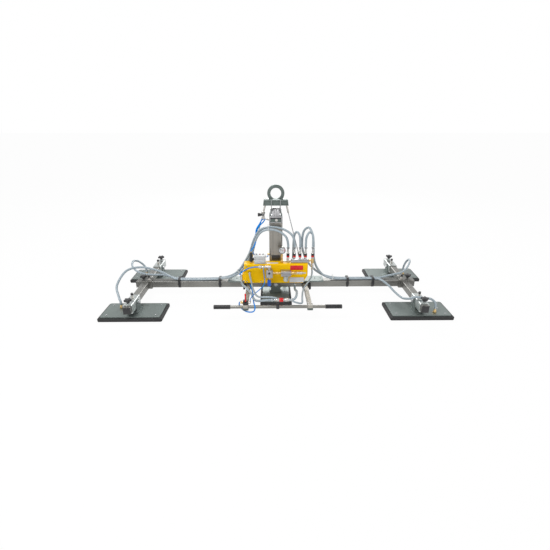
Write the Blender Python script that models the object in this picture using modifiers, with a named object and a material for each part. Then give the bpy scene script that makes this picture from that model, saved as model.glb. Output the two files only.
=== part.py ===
"""Pneumatic vacuum lifter: a load beam with five suction pads under a hanger with a cylinder.

Metres, +Z up. The origin is on the floor under the middle of the load beam. X runs along the
load beam, and the handle is at -Y, on the side that the operator stands on.
"""
import math

import bmesh
import bpy
from mathutils import Matrix, Vector

# Clearances
GAP = 0.0003
RUN = 0.0006
# How far joined shapes run into each other
WELD = 0.001

# Suction pads
PAD_LENGTH = 0.400
PAD_WIDTH = 0.200
PAD_THICK = 0.008
PAD_CORNER = 0.006
SEAL_CORNER = 0.011
SEAL_INNER_CORNER = 0.012
SEAL_LIP = 0.015
SEAL_BAND = 0.020
SEAL_HEIGHT = 0.022
SEAL_ROUND = 0.004
PAD_Y = 0.317
PIVOT_Z = 0.090
TRUNNION_R = 0.008
TRUNNION_PROUD = 0.0025
CHEEK_THICK = 0.006
CHEEK_FOOT = 0.045
CHEEK_TOP_R = 0.020
FORK_PLATE = 0.006
NIPPLE_R = 0.009
NIPPLE_TOP = 0.058
NIPPLE_OUT = 0.0975
NIPPLE_IN = 0.027
NIPPLE_IN_FRONT_RIGHT = -0.060
CENTRE_NIPPLE = (0.070, 0.110)

# Beams
TUBE = 0.050
TUBE_WALL = 0.004
BEAM_HALF = 1.055
BEAM_DEPTH = 0.060
CROSS_X = 0.9825
CROSS_HALF = 0.4435
CAP_THICK = 0.004
CAP_PROUD = 0.0015
CAP_CORNER = 0.006
SLIDER_WALL = 0.006
SLIDER_HALF = 0.045
HOLE_R = 0.0045
BEAM_HOLE_FIRST = 0.440
BEAM_HOLE_PITCH = 0.090
BEAM_HOLES = 4
BEAM_HOLE_Y = 0.020
CROSS_HOLE_PITCH = 0.045
CROSS_HOLES = 3

# Pad sleeves on the cross beams
SLEEVE_WALL = 0.0055
SLEEVE_IN = 0.055
SLEEVE_OUT = 0.106
STAR_OUT = 0.088
PLUNGER_R = 0.008
PLUNGER_HIGH = 0.030
PLUNGER_STEM_R = 0.004
PLUNGER_TIP_LOW, PLUNGER_TIP_HIGH = 0.006, 0.008
BOSS_STAR_R, BOSS_STAR_HIGH = 0.011, 0.005
SLIDER_PLUNGER_IN, SLIDER_PLUNGER_Y = 0.024, -0.018
SLIDER_STAR_OUT = 0.025

# Star knobs
STAR_R = 0.0265
STAR_WAVE = 0.0040
STAR_LOBES = 5
STAR_THICK = 0.014
STAR_NECK = 0.012
STEM_R = 0.005

# Carrier weldment on the load beam
CARRIER_HALF = 0.360
CARRIER_THICK = 0.010
CARRIER_BACK = 0.045
BRACKET_X = 0.150
BRACKET_WIDE = 0.050
BRACKET_THICK = 0.008
BRACKET_TOP = 0.260
LUG_X = 0.185
LUG_HALF = 0.028
LUG_THICK = 0.010
LUG_TOP_HALF = 0.014
BOSS_R = 0.025
CARRIER_HOLE_R = 0.0055
CARRIER_HOLE_EDGE = 0.022
CARRIER_HOLE_PITCH = 0.040
BOSS_HIGH = 0.040
BOSS_TAPER = 0.004
SOCKET_FLOOR = 0.010

# Cylinder
CYL_SIDE = 0.095
CYL_BORE_R = 0.040
CYL_CORNER = 0.010
GROOVE_WIDE = 0.006
GROOVE_DEEP = 0.004
GROOVE_AT = 0.020
CAP_LOW_Z = 0.245
BARREL_LOW_Z = 0.285
BARREL_TOP_Z = 0.571
HEAD_TOP_Z = 0.612
HEAD_STEP = 0.005
HEAD_NECK = 0.004
HEAD_PORT_HIGH, HEAD_PORT_LONG = 0.020, 0.018
HEAD_PORT_Y, HEAD_PORT_R = -0.018, 0.007
ROD_R = 0.0125
PISTON_THICK = 0.030
PISTON_Z = 0.320
CLEVIS_BASE = 0.007
SHOULDER_Z = 0.639
TONGUE_HALF = 0.0290
TONGUE_R = 0.020
PIN_R = 0.008
PIN_Z = 0.662
RIB_PITCH = 0.0085
RIB_DEEP = 0.003
RIBS = 4

# Spreader, hanger plates and lifting eye
SPREAD_LOW_Z = 0.688
SPREAD_TOP_Z = 0.723
SPREAD_LOW_HALF = 0.089
SPREAD_TOP_HALF = 0.0835
SPREAD_DEEP_HALF = 0.035
SPREAD_WALL = 0.006
SPREAD_END = 0.004
HANGER_THICK = 0.005
HANGER_DEEP_HALF = 0.046
HANGER_TOP_Z = 0.735
EYE_Z = 0.771
EYE_R = 0.060
EYE_HOLE_R = 0.0375
EYE_THICK = 0.014
EYE_FOOT_HALF, EYE_FOOT_HIGH, EYE_WELD = 0.030, 0.022, 0.004

# Ropes
ROPE_R = 0.0035
ROPE_TOP = (0.0660, 0.723)
ROPE_LOW = (0.1800, 0.2850)
SWAGE_R = 0.0065
SWAGE_LONG = 0.050
STUD_R = 0.0060
ROPE_HEAD_R = 0.0095
ROPE_HEAD_HIGH = 0.010
ROPE_HEAD_LIFT = 0.0026
STUD_LONG = 0.040
SWAGE_TAPER = 0.004

# Tank and what stands on it
TANK_X0, TANK_X1 = -0.229, 0.229
TANK_Y0, TANK_Y1 = -0.130, -0.053
TANK_Z0, TANK_Z1 = 0.143, 0.290
TANK_CHAMFER = (0.034, 0.058)
TANK_ROUND = 0.005
TANK_WALL = 0.003
TANK_PORT_R = 0.0045
SEAM_X = -0.090
SEAM = 0.0012
TAB_WIDE = 0.014
TAB_Z0, TAB_Z1 = 0.160, 0.210
TANK_FITTING_R = 0.008
UNDER_LONG = 0.018
FITTING_PROUD = 0.005
TANK_FITTING = (-0.250, -0.090)
UNDER_FITTING = (0.140, -0.090)
CBOX_X0, CBOX_X1 = -0.1556, -0.0748
CBOX_Y0, CBOX_Y1 = -0.125, -0.068
CBOX_TOP = 0.352
CBOX_PLUG_LONG, CBOX_PLUG_R, CBOX_PLUG_Y = 0.012, 0.009, -0.095
CBOX_PLUG_Z = 0.320

# Valve row
ROW_Y = -0.093
VALVE_X = (0.0864, 0.1324, 0.1726, 0.2128, 0.2635)
MANIFOLD_X0, MANIFOLD_X1 = 0.1088, 0.238
MANIFOLD_HALF = 0.015
MANIFOLD_TOP = 0.3203
CORE_R = 0.0060
NUT_R = 0.0105
NUT_HIGH = 0.012
VALVE_SLEEVE_R = 0.0120
VALVE_SLEEVE_LONG = 0.036
VALVE_TRAVEL = 0.007
TAIL_HIGH = 0.014
COLLAR_HIGH = 0.006
TEE_R, LINK_R, BRANCH_R = 0.010, 0.007, 0.008
LINK_Z, BRANCH_Z = 0.304, 0.306
ELBOW_LOW_Z = 0.235

# Vacuum gauge
GAUGE_X, GAUGE_Z = 0.043, 0.3885
GAUGE_R = 0.026
GAUGE_Y0, GAUGE_Y1 = -0.115, -0.087
GAUGE_LIP = 0.003
GAUGE_DEEP = 0.008
GAUGE_STEM_R = 0.006

# Air unit in front of the tank
LINE_Y, LINE_Z = -0.160, 0.236
REG_X0, REG_X1 = -0.0713, -0.0246
REG_Z0, REG_Z1 = 0.2054, 0.2599
REG_Y0 = -0.182
FILTER_X0, FILTER_X1 = 0.0353, 0.107
BOWL_R = 0.020
BOWL_LOW_Z = 0.1696
SILENCER_R = 0.0125
SILENCER_X, SILENCER_LOW_Z = -0.049, 0.134
INLET_Z = 0.283

# Supply valve on the left rope
SUPPLY_Z = 0.632
SUPPLY_R = 0.010
SUPPLY_FRONT = -0.034

# Handle
HANDLE_X = 0.009
ARM_X = 0.213
ARM_HALF = 0.014
HINGE_Y, HINGE_Z = -0.061, 0.086
HINGE_BOLT_R = 0.005
EAR_THICK = 0.008
EAR_R = 0.018
ARM_EYE_R = 0.019
BAR_Y, BAR_Z = -0.420, 0.104
BAR_R = 0.011
BAR_HALF = 0.425
GRIP_R = 0.0145
GRIP_LONG = 0.110
CLAMP_HALF = 0.018
HAND_VALVE_Z = 0.1545
HAND_VALVE_X0, HAND_VALVE_X1 = -0.0169, 0.0883
HAND_SLEEVE_X0, HAND_SLEEVE_X1 = 0.018, 0.044
HAND_SLEEVE_R = 0.0135
HAND_TRAVEL = 0.012
HAND_CORE_R, HAND_END_R = 0.0075, 0.0125
STALK_X, STALK_R = 0.0082, 0.007
LEVER_BASE_HALF = 0.0165
LEVER_BASE_HIGH = 0.030
LEVER_LONG = 0.046
LEVER_DROP = 0.005
STUB_R, STUB_LONG, STUB_HIGH = 0.0075, 0.034, 0.013

# Hoses
HOSE_R = 0.008
HOSE_STEP = 0.042
STRAP_LEFT_X = -0.730
STRAP_RIGHT_X = 0.739
FRONT_LANE_Y, REAR_LANE_Y = -0.0145, 0.0025

BEAM_Z0 = PIVOT_Z - TUBE / 2
BEAM_Z1 = PIVOT_Z + TUBE / 2
PLATE_TOP = SEAL_HEIGHT + PAD_THICK
CARRIER_Z0 = BEAM_Z1 + GAP
CARRIER_Z1 = CARRIER_Z0 + CARRIER_THICK
BRACKET_Y0 = TANK_Y1 + GAP
VALVE_NUT_Z = MANIFOLD_TOP + NUT_HIGH
VALVE_TOP_NUT_Z = VALVE_NUT_Z + VALVE_SLEEVE_LONG + VALVE_TRAVEL + 2 * GAP
TAIL_Z = VALVE_TOP_NUT_Z + COLLAR_HIGH + TAIL_HIGH
HOSE_ON_BEAM = BEAM_Z1 + HOSE_R + RUN

# Colour, roughness and metallic value of each finish
FINISHES = {
    "zinc": ((0.36, 0.42, 0.41), 0.45, 0.7),
    "beam_grey": ((0.36, 0.34, 0.31), 0.50, 0.6),
    "aluminium": ((0.62, 0.63, 0.64), 0.38, 0.9),
    "yellow": ((0.85, 0.47, 0.02), 0.42, 0.0),
    "white": ((0.78, 0.78, 0.75), 0.45, 0.0),
    "black": ((0.02, 0.02, 0.022), 0.55, 0.0),
    "rubber": ((0.018, 0.018, 0.018), 0.80, 0.0),
    "red": ((0.75, 0.02, 0.02), 0.40, 0.0),
    "brass": ((0.66, 0.47, 0.20), 0.32, 1.0),
    "steel": ((0.55, 0.56, 0.57), 0.30, 1.0),
    "hose": ((0.32, 0.38, 0.42), 0.45, 0.0),
}


def clear_scene():
    for obj in list(bpy.data.objects):
        bpy.data.objects.remove(obj, do_unlink=True)


def collection(name):
    made = bpy.data.collections.new(name)
    bpy.context.scene.collection.children.link(made)
    return made


def finish(name):
    """The Principled material of one finish, made the first time that it is asked for."""
    if name in bpy.data.materials:
        return bpy.data.materials[name]
    colour, roughness, metallic = FINISHES[name]
    material = bpy.data.materials.new(name)
    material.use_nodes = True
    shader = material.node_tree.nodes["Principled BSDF"]
    shader.inputs["Base Color"].default_value = (*colour, 1.0)
    shader.inputs["Roughness"].default_value = roughness
    shader.inputs["Metallic"].default_value = metallic
    return material


clear_scene()
PARTS = collection("vacuum_lifter")


def keep(name, mesh):
    obj = bpy.data.objects.new(name, mesh)
    PARTS.objects.link(obj)
    return obj


def bake(obj):
    """The object's evaluated shape as a plain mesh in world space, its seams welded."""
    bpy.context.view_layer.update()
    evaluated = obj.evaluated_get(bpy.context.evaluated_depsgraph_get())
    mesh = bpy.data.meshes.new_from_object(evaluated)
    mesh.transform(obj.matrix_world)
    name = obj.name
    bpy.data.objects.remove(obj, do_unlink=True)
    bm = bmesh.new()
    bm.from_mesh(mesh)
    bmesh.ops.remove_doubles(bm, verts=bm.verts, dist=1e-6)
    bmesh.ops.recalc_face_normals(bm, faces=bm.faces)
    bm.to_mesh(mesh)
    bm.free()
    return keep(name, mesh)


def boolean(obj, tools, operation):
    for tool in tools:
        modifier = obj.modifiers.new("boolean", "BOOLEAN")
        modifier.operation = operation
        modifier.solver = "EXACT"
        modifier.object = tool
    done = bake(obj)
    for tool in tools:
        bpy.data.objects.remove(tool, do_unlink=True)
    return done


def join(obj, *tools):
    return boolean(obj, tools, "UNION")


def cut(obj, *tools):
    return boolean(obj, tools, "DIFFERENCE")


def box(name, x, y, z, bevel=0.0):
    """A block between two values of x, of y and of z, its edges rounded by the bevel."""
    bm = bmesh.new()
    bmesh.ops.create_cube(bm, size=1.0)
    bmesh.ops.scale(bm, verts=bm.verts, vec=(x[1] - x[0], y[1] - y[0], z[1] - z[0]))
    middle = Vector((x[0] + x[1], y[0] + y[1], z[0] + z[1])) / 2
    bmesh.ops.translate(bm, verts=bm.verts, vec=middle)
    mesh = bpy.data.meshes.new(name)
    bm.to_mesh(mesh)
    bm.free()
    obj = keep(name, mesh)
    if bevel:
        modifier = obj.modifiers.new("bevel", "BEVEL")
        modifier.width = bevel
        modifier.segments = 1
        obj = bake(obj)
    return obj


def rod(name, start, end, radius, sides=16, end_radius=None):
    """A round bar or a cone between two points."""
    start, end = Vector(start), Vector(end)
    along = end - start
    bm = bmesh.new()
    turn = Vector((0, 0, 1)).rotation_difference(along).to_matrix().to_4x4()
    bmesh.ops.create_cone(
        bm, cap_ends=True, segments=sides, radius1=radius,
        radius2=radius if end_radius is None else end_radius, depth=along.length,
        matrix=Matrix.Translation((start + end) / 2) @ turn)
    mesh = bpy.data.meshes.new(name)
    bm.to_mesh(mesh)
    bm.free()
    return keep(name, mesh)


def square_bar(name, start, end, half):
    """A square bar between two points."""
    start, end = Vector(start), Vector(end)
    along = end - start
    bm = bmesh.new()
    turn = Vector((0, 0, 1)).rotation_difference(along).to_matrix().to_4x4()
    size = Matrix.Diagonal((2 * half, 2 * half, along.length, 1.0))
    bmesh.ops.create_cube(bm, size=1.0, matrix=Matrix.Translation((start + end) / 2) @ turn @ size)
    mesh = bpy.data.meshes.new(name)
    bm.to_mesh(mesh)
    bm.free()
    return keep(name, mesh)


def turned(name, profile, start, along, steps=20):
    """A turned piece: a profile of (radius, distance) spun about the line from start."""
    mesh = bpy.data.meshes.new(name)
    points = [(radius, 0.0, height) for radius, height in profile]
    edges = [(i, i + 1) for i in range(len(points) - 1)]
    mesh.from_pydata(points, edges, [])
    obj = keep(name, mesh)
    modifier = obj.modifiers.new("turn", "SCREW")
    modifier.steps = modifier.render_steps = steps
    modifier.use_merge_vertices = True
    modifier.merge_threshold = 1e-5
    turn = Vector((0, 0, 1)).rotation_difference(Vector(along)).to_matrix().to_4x4()
    obj.matrix_world = Matrix.Translation(start) @ turn
    return bake(obj)


PLANES = {
    "XY": Matrix.Identity(4),
    "XZ": Matrix(((1, 0, 0, 0), (0, 0, -1, 0), (0, 1, 0, 0), (0, 0, 0, 1))),
    "YZ": Matrix(((0, 0, 1, 0), (1, 0, 0, 0), (0, 1, 0, 0), (0, 0, 0, 1))),
}


def plate(name, outlines, plane, low, high, rounding=0.0):
    """A flat piece: an outline with its holes, drawn in a plane, between two levels."""
    curve = bpy.data.curves.new(name, "CURVE")
    curve.dimensions = "2D"
    curve.fill_mode = "BOTH"
    curve.extrude = (high - low) / 2 - rounding
    if rounding:
        curve.bevel_depth = rounding
        curve.bevel_resolution = 0
        curve.offset = -rounding
    for outline in outlines:
        spline = curve.splines.new("POLY")
        spline.points.add(len(outline) - 1)
        for point, (u, v) in zip(spline.points, outline):
            point.co = (u, v, 0.0, 1.0)
        spline.use_cyclic_u = True
    obj = keep(name, curve)
    # The XZ plane looks along -Y, so its levels change sign.
    level = (low + high) / 2
    shift = Matrix.Translation((0, 0, -level if plane == "XZ" else level))
    obj.matrix_world = PLANES[plane] @ shift
    return bake(obj)


def arc(u, v, radius, start, end, steps):
    """Points of an arc about (u, v), its angles in degrees."""
    angles = [math.radians(start + (end - start) * i / steps) for i in range(steps + 1)]
    return [(u + radius * math.cos(a), v + radius * math.sin(a)) for a in angles]


def circle(u, v, radius, sides=20):
    return arc(u, v, radius, 0, 360, sides)[:-1]


def rounded(u0, u1, v0, v1, radius, steps=3):
    """A rectangle with round corners."""
    return (arc(u1 - radius, v1 - radius, radius, 0, 90, steps)
            + arc(u0 + radius, v1 - radius, radius, 90, 180, steps)
            + arc(u0 + radius, v0 + radius, radius, 180, 270, steps)
            + arc(u1 - radius, v0 + radius, radius, 270, 360, steps))


def smooth_route(points):
    """A Catmull-Rom curve through hand-chosen points, with a point every few diameters."""
    points = [Vector(p) for p in points]
    ends = [2 * points[0] - points[1]] + points + [2 * points[-1] - points[-2]]
    route = []
    for a, b, c, d in zip(ends, ends[1:], ends[2:], ends[3:]):
        steps = max(1, round((c - b).length / HOSE_STEP))
        for i in range(steps):
            t = i / steps
            route.append(0.5 * (2 * b + (c - a) * t + (2 * a - 5 * b + 4 * c - d) * t ** 2
                                + (3 * b - a - 3 * c + d) * t ** 3))
    return route + [points[-1]]


def hose(name, points, radius=HOSE_R):
    curve = bpy.data.curves.new(name, "CURVE")
    curve.dimensions = "3D"
    curve.bevel_depth = radius
    curve.bevel_resolution = 2
    curve.use_fill_caps = True
    spline = curve.splines.new("POLY")
    route = smooth_route(points)
    spline.points.add(len(route) - 1)
    for point, place in zip(spline.points, route):
        point.co = (*place, 1.0)
    return bake(keep(name, curve))


def done(obj, name, material, origin=(0.0, 0.0, 0.0)):
    """Names a finished piece, gives it its material and puts its origin on its joint's axis."""
    obj.name = name
    obj.data.name = name
    obj.data.materials.clear()
    obj.data.materials.append(finish(material))
    obj.data.transform(Matrix.Translation(-Vector(origin)))
    obj.location = origin
    obj.data.shade_smooth()
    obj.data.set_sharp_from_angle(angle=math.radians(35))
    return obj


def star_knob(name, seat, direction, stem):
    """A star knob whose stem ends on its seat; the knob turns about the stem."""
    steps = STAR_LOBES * 3
    outline = []
    for i in range(steps):
        angle = 2 * math.pi * i / steps
        radius = STAR_R - STAR_WAVE + STAR_WAVE * math.cos(STAR_LOBES * angle)
        outline.append((radius * math.cos(angle), radius * math.sin(angle)))
    low = stem + STAR_NECK
    head = plate("head", [outline], "XY", low, low + STAR_THICK)
    neck = rod("neck", (0, 0, stem), (0, 0, low + 0.002), 0.011, 12, 0.013)
    pin = rod("pin", (0, 0, 0), (0, 0, stem + 0.002), STEM_R, 12)
    knob = join(head, neck, pin)
    turn = Vector((0, 0, 1)).rotation_difference(Vector(direction)).to_matrix().to_4x4()
    knob.data.transform(Matrix.Translation(seat) @ turn)
    return done(knob, name, "black", seat)


def tube_outline(width, height, wall):
    outer = rounded(-width / 2, width / 2, PIVOT_Z - height / 2, PIVOT_Z + height / 2, 0.005, 2)
    inner = rounded(-width / 2 + wall, width / 2 - wall,
                    PIVOT_Z - height / 2 + wall, PIVOT_Z + height / 2 - wall, 0.002, 1)
    return [outer, inner]


def down_hole(x, y, top, depth, radius, sides=8):
    return rod("hole", (x, y, top - depth), (x, y, top + depth), radius, sides)


def plunger(x, y, top):
    """A spring plunger's stem and grip, standing on a wall."""
    grip_low, grip_high = top + PLUNGER_HIGH - PLUNGER_TIP_LOW, top + PLUNGER_HIGH + PLUNGER_TIP_HIGH
    return [rod("stem", (x, y, top - WELD), (x, y, top + PLUNGER_HIGH), PLUNGER_STEM_R, 6),
            rod("tip", (x, y, grip_low), (x, y, grip_high), PLUNGER_R, 8)]


def main_beam():
    """The load beam: a closed box tube with index holes, handle ears and the middle trunnions."""
    beam = plate("beam", tube_outline(BEAM_DEPTH, TUBE, TUBE_WALL), "YZ", -BEAM_HALF, BEAM_HALF)
    ears = []
    for side in (-1, 1):
        low, high = sorted((side * (BEAM_HALF - CAP_THICK), side * (BEAM_HALF + CAP_PROUD)))
        outline = rounded(-BEAM_DEPTH / 2 + WELD, BEAM_DEPTH / 2 - WELD, BEAM_Z0 + WELD, BEAM_Z1 - WELD,
                          CAP_CORNER, 1)
        ears.append(plate("cap", [outline], "YZ", low, high))
    places = [BEAM_HOLE_FIRST + i * BEAM_HOLE_PITCH for i in range(BEAM_HOLES)]
    holes = [down_hole(side * x, BEAM_HOLE_Y, BEAM_Z1, 2 * TUBE_WALL, HOLE_R)
             for side in (-1, 1) for x in places]
    beam = cut(beam, *holes)
    for side in (-1, 1):
        inner = HANDLE_X + side * (ARM_X - ARM_HALF - RUN - EAR_THICK)
        outer = inner + side * EAR_THICK
        outline = ([(-BEAM_DEPTH / 2 + 0.002, HINGE_Z - EAR_R)]
                   + [(-BEAM_DEPTH / 2 + 0.002, HINGE_Z + EAR_R)]
                   + arc(HINGE_Y, HINGE_Z, EAR_R, 90, 270, 6))
        hole = circle(HINGE_Y, HINGE_Z, HINGE_BOLT_R + GAP, 12)
        ears.append(plate("ear", [outline, hole], "YZ", min(inner, outer), max(inner, outer)))
    reach = BEAM_DEPTH / 2 + RUN + SLIDER_WALL + CHEEK_THICK
    for side in (-1, 1):
        start = (0, side * (BEAM_DEPTH / 2 - 0.002), PIVOT_Z)
        ears.append(rod("trunnion", start, (0, side * reach, PIVOT_Z), TRUNNION_R, 12))
    return done(join(beam, *ears), "main_beam", "beam_grey")


def cross_beam(side, name):
    """A cross tube with closed ends, welded to the slider that runs along the load beam."""
    x = side * CROSS_X
    inner_half = BEAM_DEPTH / 2 + RUN
    outer_half = inner_half + SLIDER_WALL
    slider = box("slider", (x - SLIDER_HALF, x + SLIDER_HALF), (-outer_half, outer_half),
                 (BEAM_Z0 - RUN - SLIDER_WALL, BEAM_Z1 + RUN + SLIDER_WALL))
    tubes = []
    for end in (-1, 1):
        low, high = sorted((end * (outer_half - 0.002), end * CROSS_HALF))
        rings = [[(x + u, v) for u, v in ring] for ring in tube_outline(TUBE, TUBE, TUBE_WALL)]
        tube = plate("tube", rings, "XZ", low, high)
        low, high = sorted((end * (CROSS_HALF - CAP_THICK), end * (CROSS_HALF + CAP_PROUD)))
        cap = plate("cap", [rounded(x - TUBE / 2 + WELD, x + TUBE / 2 - WELD, BEAM_Z0 + WELD,
                                    BEAM_Z1 - WELD, CAP_CORNER, 1)], "XZ", low, high)
        tubes += [tube, cap]
    beam = join(slider, *tubes)
    bore = box("bore", (x - 2 * SLIDER_HALF, x + 2 * SLIDER_HALF), (-inner_half, inner_half),
               (BEAM_Z0 - RUN, BEAM_Z1 + RUN))
    holes = []
    for end in (-1, 1):
        for i in range(CROSS_HOLES):
            y = end * (outer_half + CROSS_HOLE_PITCH * (i + 0.6))
            holes.append(down_hole(x, y, BEAM_Z1, 2 * TUBE_WALL, HOLE_R))
    top = BEAM_Z1 + RUN + SLIDER_WALL
    pin = plunger(x - side * SLIDER_PLUNGER_IN, SLIDER_PLUNGER_Y, top)
    screw = down_hole(x + side * SLIDER_STAR_OUT, 0, top, 2 * SLIDER_WALL, STEM_R + GAP, 12)
    return done(cut(join(beam, *pin), bore, screw, *holes), name, "zinc")


def pad_sleeve(side, end, name):
    """The sleeve that slides on a cross beam, with the trunnions that carry the pad's cheeks."""
    x, y = side * CROSS_X, end * PAD_Y
    half = TUBE / 2 + RUN
    outer = half + SLEEVE_WALL
    low, high = sorted((y - end * SLEEVE_IN, y + end * SLEEVE_OUT))
    rings = [rounded(x - outer, x + outer, PIVOT_Z - outer, PIVOT_Z + outer, 0.006, 2),
             rounded(x - half, x + half, PIVOT_Z - half, PIVOT_Z + half, 0.004, 1)]
    sleeve = plate("sleeve", rings, "XZ", low, high)
    top = PIVOT_Z + outer
    pieces = plunger(x, y, top)
    reach = outer + RUN + CHEEK_THICK + TRUNNION_PROUD
    for edge in (-1, 1):
        start = (x + edge * (outer - WELD), y, PIVOT_Z)
        pieces.append(rod("trunnion", start, (x + edge * reach, y, PIVOT_Z), TRUNNION_R, 12))
    star_y = y + end * STAR_OUT
    pieces.append(rod("boss", (x, star_y, top - WELD), (x, star_y, top + BOSS_STAR_HIGH), BOSS_STAR_R, 12))
    screw = down_hole(x, star_y, top, 2 * SLEEVE_WALL, STEM_R + GAP, 12)
    return done(cut(join(sleeve, *pieces), screw), name, "zinc", (x, y, PIVOT_Z))


def cheeks(x, y, turned_pad):
    """Two round-topped cheeks with their foot plate, about the middle of a pad."""
    if turned_pad:
        inner = BEAM_DEPTH / 2 + RUN + SLIDER_WALL
    else:
        inner = TUBE / 2 + RUN + SLEEVE_WALL
    inner += RUN
    plane, across, along = ("XZ", y, x) if turned_pad else ("YZ", x, y)
    outline = ([(along - CHEEK_FOOT, PLATE_TOP - 0.001)]
               + arc(along, PIVOT_Z, CHEEK_TOP_R, 170, 10, 6)
               + [(along + CHEEK_FOOT, PLATE_TOP - 0.001)])
    hole = circle(along, PIVOT_Z, TRUNNION_R + GAP, 12)
    made = []
    for edge in (-1, 1):
        low, high = sorted((across + edge * inner, across + edge * (inner + CHEEK_THICK)))
        made.append(plate("cheek", [outline, hole], plane, low, high))
    reach = inner + CHEEK_THICK + 0.004
    half = (CHEEK_FOOT + 0.003, reach) if turned_pad else (reach, CHEEK_FOOT + 0.003)
    made.append(box("foot", (x - half[0], x + half[0]), (y - half[1], y + half[1]),
                    (PLATE_TOP - 0.001, PLATE_TOP + FORK_PLATE)))
    return made


def pad(x, y, nipple, name, turned_pad=False):
    """A suction plate with its fork and hose nipple."""
    u, v = (PAD_WIDTH, PAD_LENGTH) if turned_pad else (PAD_LENGTH, PAD_WIDTH)
    base = plate("plate", [rounded(x - u / 2, x + u / 2, y - v / 2, y + v / 2, PAD_CORNER)], "XY",
                 SEAL_HEIGHT, PLATE_TOP)
    tail = rod("tail", (*nipple, PLATE_TOP - WELD), (*nipple, NIPPLE_TOP), CORE_R, 8)
    nut = rod("nut", (*nipple, PLATE_TOP - 0.001), (*nipple, PLATE_TOP + 0.010), NIPPLE_R + 0.002, 6)
    origin = (x, y, PIVOT_Z)
    return done(join(base, tail, nut, *cheeks(x, y, turned_pad)), name, "zinc", origin)


def pad_seal(x, y, name, turned_pad=False):
    """The rubber ring that stands on the load, a little wider than its plate."""
    u, v = (PAD_WIDTH, PAD_LENGTH) if turned_pad else (PAD_LENGTH, PAD_WIDTH)
    u, v = u / 2 + SEAL_LIP, v / 2 + SEAL_LIP
    band = SEAL_LIP + SEAL_BAND
    rings = [rounded(x - u, x + u, y - v, y + v, SEAL_CORNER, 3),
             rounded(x - u + band, x + u - band, y - v + band, y + v - band, SEAL_INNER_CORNER, 2)]
    seal = plate("seal", rings, "XY", 0.0, SEAL_HEIGHT - GAP, SEAL_ROUND)
    return done(seal, name, "rubber", (x, y, PIVOT_Z))


def carrier():
    """The weldment on the load beam: base plate, tank brackets, rope lugs and rod boss."""
    holes = []
    for side in (-1, 1):
        for i in range(2):
            x = side * (CARRIER_HALF - CARRIER_HOLE_EDGE - i * CARRIER_HOLE_PITCH)
            holes.append(down_hole(x, 0.0, CARRIER_Z1, 2 * CARRIER_THICK, CARRIER_HOLE_R))
    outline = rounded(-CARRIER_HALF, CARRIER_HALF, BRACKET_Y0 + WELD, CARRIER_BACK, 0.004, 1)
    base = plate("base", [outline], "XY", CARRIER_Z0, CARRIER_Z1)
    pieces = []
    down = (Vector(ROPE_LOW) - Vector(ROPE_TOP)).normalized()
    across = Vector((-down.y, down.x))
    for side in (-1, 1):
        middle = side * BRACKET_X
        pieces.append(box("bracket", (middle - BRACKET_WIDE / 2, middle + BRACKET_WIDE / 2),
                          (BRACKET_Y0, BRACKET_Y0 + BRACKET_THICK), (CARRIER_Z0 + WELD, BRACKET_TOP)))
        seat = Vector(ROPE_LOW) + down * GAP
        top = [seat + across * LUG_TOP_HALF, seat - across * LUG_TOP_HALF]
        outline = [(LUG_X + LUG_HALF, CARRIER_Z1 - WELD), *top, (LUG_X - LUG_HALF, CARRIER_Z1 - WELD)]
        pieces.append(plate("lug", [[(side * u, v) for u, v in outline]], "XZ",
                            -LUG_THICK / 2, LUG_THICK / 2))
    pieces.append(rod("boss", (0, 0, CARRIER_Z1 - WELD), (0, 0, CARRIER_Z1 + BOSS_HIGH), BOSS_R, 20,
                      BOSS_R - BOSS_TAPER))
    socket = rod("socket", (0, 0, CARRIER_Z1 + SOCKET_FLOOR), (0, 0, CARRIER_Z1 + 2 * BOSS_HIGH),
                 ROD_R + GAP, 20)
    return done(cut(join(base, *pieces), socket, *holes), "carrier", "zinc")


def profile_outline():
    """The cylinder's outline in plan: a square with two grooves in each side."""
    half = CYL_SIDE / 2
    side = []
    for at in (GROOVE_AT, -GROOVE_AT):
        side += [(half, at + GROOVE_WIDE / 2), (half - GROOVE_DEEP, at + GROOVE_WIDE / 2),
                 (half - GROOVE_DEEP, at - GROOVE_WIDE / 2), (half, at - GROOVE_WIDE / 2)]
    side += arc(half - CYL_CORNER, -half + CYL_CORNER, CYL_CORNER, 0, -90, 2)
    outline = []
    for turn in range(4):
        c, s = round(math.cos(-turn * math.pi / 2)), round(math.sin(-turn * math.pi / 2))
        outline += [(c * u - s * v, s * u + c * v) for u, v in side]
    return outline


def square(name, half_x, half_y, corner, low, high):
    return plate(name, [rounded(-half_x, half_x, -half_y, half_y, corner)], "XY", low, high)


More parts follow.
